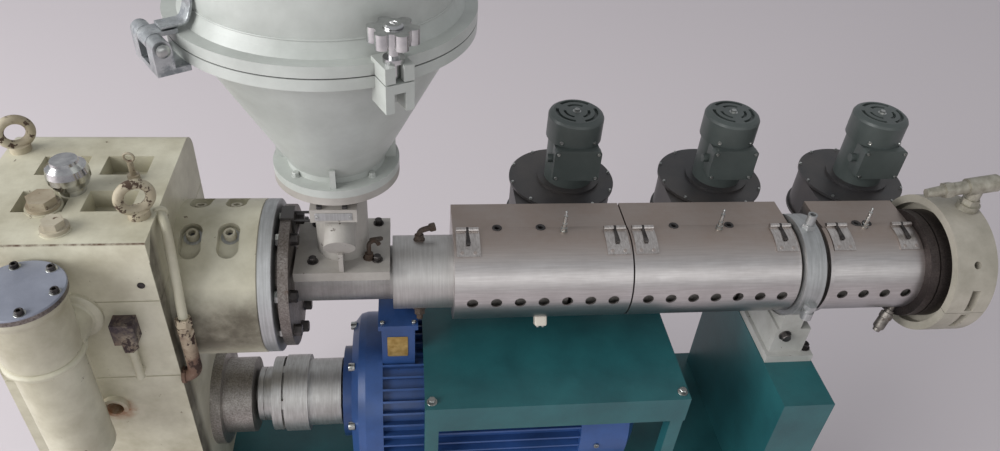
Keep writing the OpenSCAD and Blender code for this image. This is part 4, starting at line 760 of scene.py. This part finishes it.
# %% [markdown]
# ## Hopper
# A thin gasket fills the joint between the two rings, four bolts hold the hopper on the throat's
# flange, and a bead of weld runs where cone and body meet their rings.

# %% Hopper gasket, foot bolts and welds
flange_bolts = on_circle((0, 0, 266), 86.0, np.array([45, 135, 225, 315]) - 0.7)
put("hopper_foot_bolts", [repeat(hex_head(10, 6, 14, 1.5), flange_bolts)], "hopper_grey")
put("hopper_gasket", [turned([(222.5, 524.2), (222.5, 525.8), (198, 525.8), (198, 524.2)], 96, loop=True)],
    "black_paint")


def bead(radius, height, size, sides=96):
    """A weld bead: a small circle, drawn as eight rows, carried round the hopper's axis."""
    a = np.arange(8) * np.pi / 4
    return turned(np.column_stack([radius + size * np.cos(a), height + size * np.sin(a)]), sides, loop=True)


put("hopper_weld_low", [bead(201.2, 508.0, 2.2)], "hopper_grey")
put("hopper_weld_high", [bead(192.0, 562.3, 1.6)], "hopper_grey", "hopper_top")
print("gasket 1.6 mm thick between the rings")

# %% [markdown]
# The star knobs are CAD nodes that turn, so their raised hubs ride on the same bodies.

# %% Knob hubs
knob_reach = 238    # from the hopper's axis to a knob's
for knob, turn_at in (("knob_front", -65.0), ("knob_back", 131.0)):
    a = math.radians(turn_at)
    low, high = corners(knob)
    at = np.array([(knob_reach * math.cos(a), knob_reach * math.sin(a), high[2])])
    hub = turned([(12, -22), (12, -20), (11, -19), (11, 0), (13, 0.4), (13, 2), (10.5, 4.4), (5, 5),
                  (4.4, 4.4, 6), (4.2, 1.5, 6)], 24)
    put(knob + "_hub", [repeat(hub, standing(at, (0, 0, 1)))], "chrome", knob)
    print(knob, "hub at", at.round())

# %% [markdown]
# The strap is bent flat steel, riveted to the hopper's body. It swings with the body, and the caps
# on the hinge pin stay with the machine.

# %% Hinge strap, rivets and pin caps
hinge_a = math.radians(-147.0)
out = np.array([math.cos(hinge_a), math.sin(hinge_a), 0.0])
level = np.array([-out[1], out[0], 0.0])
strap_line = bent([out * 240 + (0, 0, 551.5), out * 206 + (0, 0, 551.5), out * 196.2 + (0, 0, 575),
                   out * 196.2 + (0, 0, 650)], 8)
put("hinge_strap", [swept(strap_line, rounded(4.4, 26, 1.4), level)], "galvanised", "hopper_top")
strap_rivets = standing([out * 198.4 + (0, 0, z) for z in (590, 615, 640)], out)
put("hinge_rivets", [repeat(turned([(6.5, 0), (6, 2), (3.5, 3.6), (1, 4)]), strap_rivets)], "galvanised",
    "hopper_top", zinc_screw)
pin_ends = standing([out * 252 + level * side * 43.6 + (0, 0, 536) for side in (-1, 1)], [-level, level])
put("hinge_pin_caps", [repeat(turned([(9, 0), (9, 2), (7, 4), (3, 5)]), pin_ends)], "galvanised",
    "machine", zinc_screw)
print("strap points:", len(strap_line))

# %% [markdown]
# ## Zone covers
# Each strap latch has a dark tongue in its slot, a dark band at the middle of its roll, and the two
# marks of its spot welds. Their places come from the covers' ends, one latch near each.

# %% Latch pieces
zones = [corners("zone_cover_" + str(i)) for i in (1, 2, 3)]
starts = [zones[0][0][0], zones[1][0][0], 930.5]    # the split ring covers the third one's first 8 mm
ends = [zones[0][1][0], zones[1][1][0], zones[2][1][0]]
latch_x = np.array([x + step for a, b in zip(starts, ends) for x, step in ((a, 26.0), (b, -26.0))])
tongue = slab([(-3.4, -17), (3.4, -17), (4.2, -13), (2.2, 17), (-2.2, 17), (-4.2, -13)],
              [(0.8, -1.6), (0, -1), (0, 1.6), (1.2, 2.8)])
put("latch_tongues", [repeat(tongue, around(latch_x, 80.5, 95.6))], "black_paint", finish=black_screw)
roll = standing(around(latch_x - 2.5, 93.0, 97.3)[:, :, 3], (1, 0, 0))
put("latch_roll_bands", [repeat(turned([(4.4, 0), (4.9, 0.4), (4.9, 4.6), (4.4, 5)]), roll)], "black_paint",
    finish=black_screw)
weld_x = np.concatenate([latch_x - 12, latch_x + 12])
weld = turned([(3.6, 0), (3.2, 0.4), (1.6, 0.25)])
put("latch_spot_welds", [repeat(weld, around(weld_x, 61.5, 94.7))], "stainless")
print("latches:", len(latch_x))

# %% [markdown]
# Rubber rings line the lead holes, and a spring-tipped temperature probe stands on each cover. The
# spring is drawn as ridges of the profile, which is all that shows at this size.

# %% Lead rings and probes
# soft black rubber that has gone dusty: no shine
rubber = enamel("black rubber", "262425", "3a3634", "4a4644", 0.7, peel_mm=2.0, bump=0.2, chips=0.8)
holes = [a + share * (b - a) for a, b, shares in zip(starts, ends, ((0.25, 0.5), (0.28, 0.62), (0.4, 0.52)))
         for share in shares]
grommet = turned([(9.5, 0.2), (9.5, 2), (8.4, 3.2), (6.4, 3.2), (5, 2), (5, -3), (8, -3.2), (8, 0)], 16,
                 loop=True)
put("lead_grommets", [repeat(grommet, standing([(x, 16, 90) for x in holes], (0, 0, 1)))], "black_paint",
    finish=rubber)
probe = turned([(7, 0), (7, 4), (5.5, 4, 6), (5.5, 10, 6), (4.5, 10.5), (4.5, 20), (3.4, 20.5), (3.9, 23),
                (3.4, 25.5), (3.9, 28), (3.4, 30.5), (3.9, 33), (3.4, 35.5), (3.9, 38), (2.4, 39), (2.2, 47),
                (1.6, 48)])
probe_x = [410.0, 716.0, 1018.0]
put("zone_probes", [repeat(probe, standing([(x, 4, 90.6) for x in probe_x], (0, 0, 1)))], "galvanised",
    finish=zinc_screw)
print("lead holes:", len(holes), "and probes:", len(probe_x))

# %% [markdown]
# A porcelain connector with two screws hangs under the first cover, and a cast plug hangs at the
# last one, askew, as its own weight pulls it.

# %% Connector and sensor plug
# glazed clay that heat has browned: glossy, off-white
porcelain = enamel("aged white porcelain", "cfc8bb", "a99f90", "7a6c5c", 0.28, peel_mm=4.0, bump=0.1,
                   chips=0.74)
# die-cast zinc with oily dirt: dull grey-brown
plug_zinc = bare_metal("grimy cast zinc", "98938d", "5c5753", 0.5, grain_mm=4.0, rust="4f453d", rust_at=0.62)
connector = around(372.0, -53.0, 92.0)
clay = slab(rounded(24, 22, 3), [(1.5, -2), (0, -0.5), (0, 15), (2, 18)])
put("heater_connector", [repeat(clay, connector)], "hopper_grey", finish=porcelain)
terminals = around([367.0, 377.0], -53.0, 109.6)
put("heater_terminals", [repeat(socket_head(6, 4), terminals)], "galvanised", finish=zinc_screw)
plug = turned([(6, -12), (6, 0), (9.5, 1), (9.5, 7), (12.5, 8, 8), (12.5, 20, 8), (11.5, 21), (11.5, 42),
               (10, 45), (8, 46), (7, 52), (4, 53)], 24)
put("zone_sensor_plug", [repeat(plug, standing((1106, -62, -76), (-0.45, -0.32, -0.83)))], "galvanised",
    finish=plug_zinc)
print("plug faces:", len(plug[2]))

# %% [markdown]
# ## Sleeve and drive motor
# Cooling water enters the feed section through a rusted elbow, and its lower port has a rusted
# plug. The elbow is a swept circle between two hexagon fittings.

# %% Sleeve fittings
top_port = around(138.0, 101.0, 69.0)[0, :, 3]
elbow = bent([top_port, top_port + (0, 2, 20), top_port + (20, 6, 24)], 9)
put("water_elbow", [swept(elbow, circle(5.5)), repeat(hex_head(17, 9, 22, 2), around(138.0, 101.0, 69.5)),
                    repeat(hex_head(15, 10), standing(top_port + (19, 5.8, 23.8), (1, 0.2, 0.15)))],
    "rusty")
put("sleeve_plug", [repeat(stud_nut(19, 11, 26, 12, 8), around(138.0, -56.7, 69.5))], "rusty")
print("elbow points:", len(elbow))

# %% [markdown]
# The motor's end shield is held by socket screws round its rim, its terminal box by four screws,
# and a bare plate is fixed on the box's front.

# %% Motor screws and plate
# anodised aluminium: a warm metal shine with soft streaks
gold = bare_metal("gold-anodised plate", "d3b878", "a5864a", 0.36, grain_mm=4.0)
low, high = corners("motor_end_shield")
shield = on_circle((low[0] + 27.0, 0, drive_z), 150.0, np.arange(8) * 45 + 22.5, (-1, 0, 0))
put("shield_screws", [repeat(socket_head(17, 12), shield)], "chrome", finish=zinc_screw)
lid_spots = [(x, y, -80.0) for x in (66.5, 126.5) for y in (-58.0, 58.0)]
put("terminal_lid_screws", [repeat(socket_head(9, 5), standing(lid_spots, (0, 0, 1)))], "galvanised",
    finish=zinc_screw)
put("motor_plate", [repeat(slab(rounded(40, 54, 2.5), [(0.3, 0), (0, 0.3), (0, 0.9), (0.4, 1.3)]),
                           standing((95, -63, -139), (0, -1, 0)))], "machined", finish=gold)
print("shield screws:", len(shield))

# %% [markdown]
# A spacer disc fills the gap between coupling and motor shaft, and turns with them. Screws hold
# the motor's feet, its cowl and the guard above it.

# %% Coupling spacer, foot bolts, cowl and guard screws
spacer = turned([(30, 0), (54, 0), (56, 2), (56, 12), (54, 13), (54, 15), (56, 16), (56, 31), (30, 31)], 64)
put("coupling_spacer", [repeat(spacer, standing((-196, 0, drive_z), (1, 0, 0)))], "dark_steel",
    "drive_coupling", nodes["coupling"].material_slots[0].material)
feet = [(x, y, -502.0) for x in (130.0, 398.0) for y in (-133.0, 133.0)]
put("motor_foot_bolts", [repeat(hex_head(19, 11, 30, 3), standing(feet, (0, 0, 1), 15))], "dark_steel",
    finish=black_screw)
cowl = [(500.0, y, drive_z) for y in (-170.4, 170.4)]
put("cowl_screws", [repeat(socket_head(11, 4), standing(cowl, [(0, -1, 0), (0, 1, 0)]))], "galvanised",
    finish=zinc_screw)
low, high = corners("motor_guard")
guard = [(x, y, high[2]) for x in (low[0] + 13, high[0] - 13) for y in (low[1] + 18, high[1] - 18)]
put("guard_bolts", [repeat(hex_head(13, 7, 20), standing(guard, (0, 0, 1), 25))], "galvanised",
    finish=zinc_screw)
print("motor foot bolts:", len(feet), "and guard bolts:", len(guard))

# %% [markdown]
# ## Blowers
# The three blowers are alike, so their screws are placed on one drawing and copied: ten on the
# housing's rim, one in the middle of the cowl, four round it, and four on the terminal box's lid.

# %% Blower screws
scroll_x = np.array([corners("fan_scroll_" + str(i))[0][0] + 114.0 for i in (1, 2, 3)])
fan_y, motor_shift = 252.0, 14.0    # y of their axis, and how far right of it the motor stands
rims = np.concatenate([on_circle((x, fan_y, 42.0), 110.2, np.arange(10) * 36 + 9) for x in scroll_x])
put("scroll_screws", [repeat(hex_head(5.5, 3, 7, 0.8), rims)], "galvanised", finish=zinc_screw)
axis_x = scroll_x + motor_shift
top_mid = np.column_stack([axis_x, axis_x * 0 + fan_y, axis_x * 0 + 207.4])
put("cowl_centre_screws", [repeat(hex_head(10, 5, 18, 1.2), standing(top_mid, (0, 0, 1)))], "galvanised",
    finish=zinc_screw)
side_ways = np.array([(-math.sin(a), -math.cos(a), 0) for a in (0.62, -0.62, 2.5, -2.5)])
side_spots = np.concatenate([np.array([x, fan_y, 160]) + 57.6 * side_ways for x in axis_x])
put("cowl_side_screws", [repeat(socket_head(8, 3), standing(side_spots, np.tile(side_ways, (3, 1))))],
    "galvanised", finish=zinc_screw)
box_spots = np.array([(x + dx, 185.2, 116 + dz) for x in axis_x for dx in (-42, 42) for dz in (-29, 29)])
put("fan_lid_screws", [repeat(socket_head(7, 3), standing(box_spots, (0, -1, 0)))], "galvanised",
    finish=zinc_screw)
print("blower screws:", len(rims) + len(top_mid) + len(side_spots) + len(box_spots))

# %% [markdown]
# ## Split ring, die ring and adapter
# The hot end has larger screws, dark from the heat. Two pass the split ring's ears, three hold its
# stand, and eight stand round the adapter's face.

# %% Hot end screws
ears = standing([(882, -82, -121), (882, 82, -121)], [(0, -1, 0), (0, 1, 0)], 12)
stand = standing([(944, y, -172) for y in (-70, 0, 70)], (0, 0, 1), 8)
put("stand_bolts", [repeat(hex_head(17, 10, 26, 2), where) for where in (ears, stand)], "dark_steel",
    finish=black_screw)
face = on_circle((1250.5, 0, 0), 95.0, np.arange(8) * 45, (1, 0, 0))
put("adapter_screws", [repeat(socket_head(22, 14), face)], "adapter_dark", finish=black_screw)
print("adapter screws:", len(face))

# %% [markdown]
# ## Frame
# Every door has two lift-off hinges and a quarter-turn lock. The feet stand on anchor bolts.

# %% Door hinges, locks and anchors
door_starts = -540.0 + 500.0 * np.arange(3)
hinge_spots = [(x + 2, y, z) for x in door_starts for y in (-227.5, 227.5) for z in (-830, -680)]
hinge = turned([(5.5, 0), (6.5, 1), (6.5, 24), (5.2, 24.6), (5.2, 25.4), (6.5, 26), (6.5, 49), (5.5, 50)])
put("door_hinges", [repeat(hinge, standing(hinge_spots, (0, 0, 1)))], "frame_green")
lock_spots = [(x + 415, y, -730) for x in door_starts for y in (-224.0, 224.0)]
lock_ways = [(0, y, 0) for x in door_starts for y in (-1.0, 1.0)]
put("door_locks", [repeat(turned([(16, 0), (16, 3), (14, 5), (10, 5.4), (9, 4), (4, 3.6, 3), (3.6, 1, 3)]),
                          standing(lock_spots, lock_ways))], "black_paint")
anchors = [(x, y, -984.0) for x in (-535.0, 180.0, 895.0) for y in (-196.0, 196.0)]
put("anchor_bolts", [repeat(stud_nut(24, 14, 38, 16, 12), standing(anchors, (0, 0, 1), 10))], "galvanised",
    finish=zinc_screw)

# %% [markdown]
# ## Floor and light
# A pale floor carries the shadow. One large soft lamp, like a window wall far off at the left,
# lights machine and floor evenly, a weak wide one fills the front, and the world fills the shadows.

# %% Floor
def flat_floor(half=18.0):
    """A square of floor at height 0, centred under the machine."""
    mesh = bpy.data.meshes.new("floor")
    square = [(-half, -half, 0), (half, -half, 0), (half, half, 0), (-half, half, 0)]
    mesh.from_pydata(square, [], [(0, 1, 2, 3)])
    return mesh


floor = bpy.data.objects.new("floor", flat_floor())
bpy.context.collection.objects.link(floor)
mat, _, shader, _ = start("pale studio floor")
shader.inputs["Base Color"].default_value = srgb("d2cacd")
shader.inputs["Roughness"].default_value = 0.9
floor.data.materials.append(mat)
print("floor colour", shader.inputs["Base Color"].default_value[:3])

# %% Lamps and world
def lamp(name, place, aim, size, power):
    """An area lamp at a place, turned to face a point."""
    light = bpy.data.lights.new(name, "AREA")
    light.shape, light.size, light.size_y, light.energy = "RECTANGLE", size[0], size[1], power
    obj = bpy.data.objects.new(name, light)
    way = np.array(place) - np.array(aim)
    z = way / np.linalg.norm(way)
    x = np.cross((0, 0, 1.0), z)
    x = x / np.linalg.norm(x) if np.linalg.norm(x) > 1e-6 else np.array([1.0, 0, 0])
    towards = Matrix(np.column_stack([x, np.cross(z, x), z]).tolist()).to_4x4()
    obj.matrix_world = Matrix.Translation(place) @ towards
    bpy.context.collection.objects.link(obj)


lamp("window", (-6.7, -2.6, 4.4), (0.1, 0, 1.0), (6.4, 5.2), 755)
lamp("open door", (0.9, -3.6, 2.3), (0.3, 0, 1.0), (4.5, 1.6), 24)
world = bpy.data.worlds.new("studio")
bpy.context.scene.world = world
world.use_nodes = True
world.node_tree.nodes["Background"].inputs["Color"].default_value = srgb("e6e8ec")
world.node_tree.nodes["Background"].inputs["Strength"].default_value = 0.55
bpy.context.scene.view_settings.view_transform = "Standard"
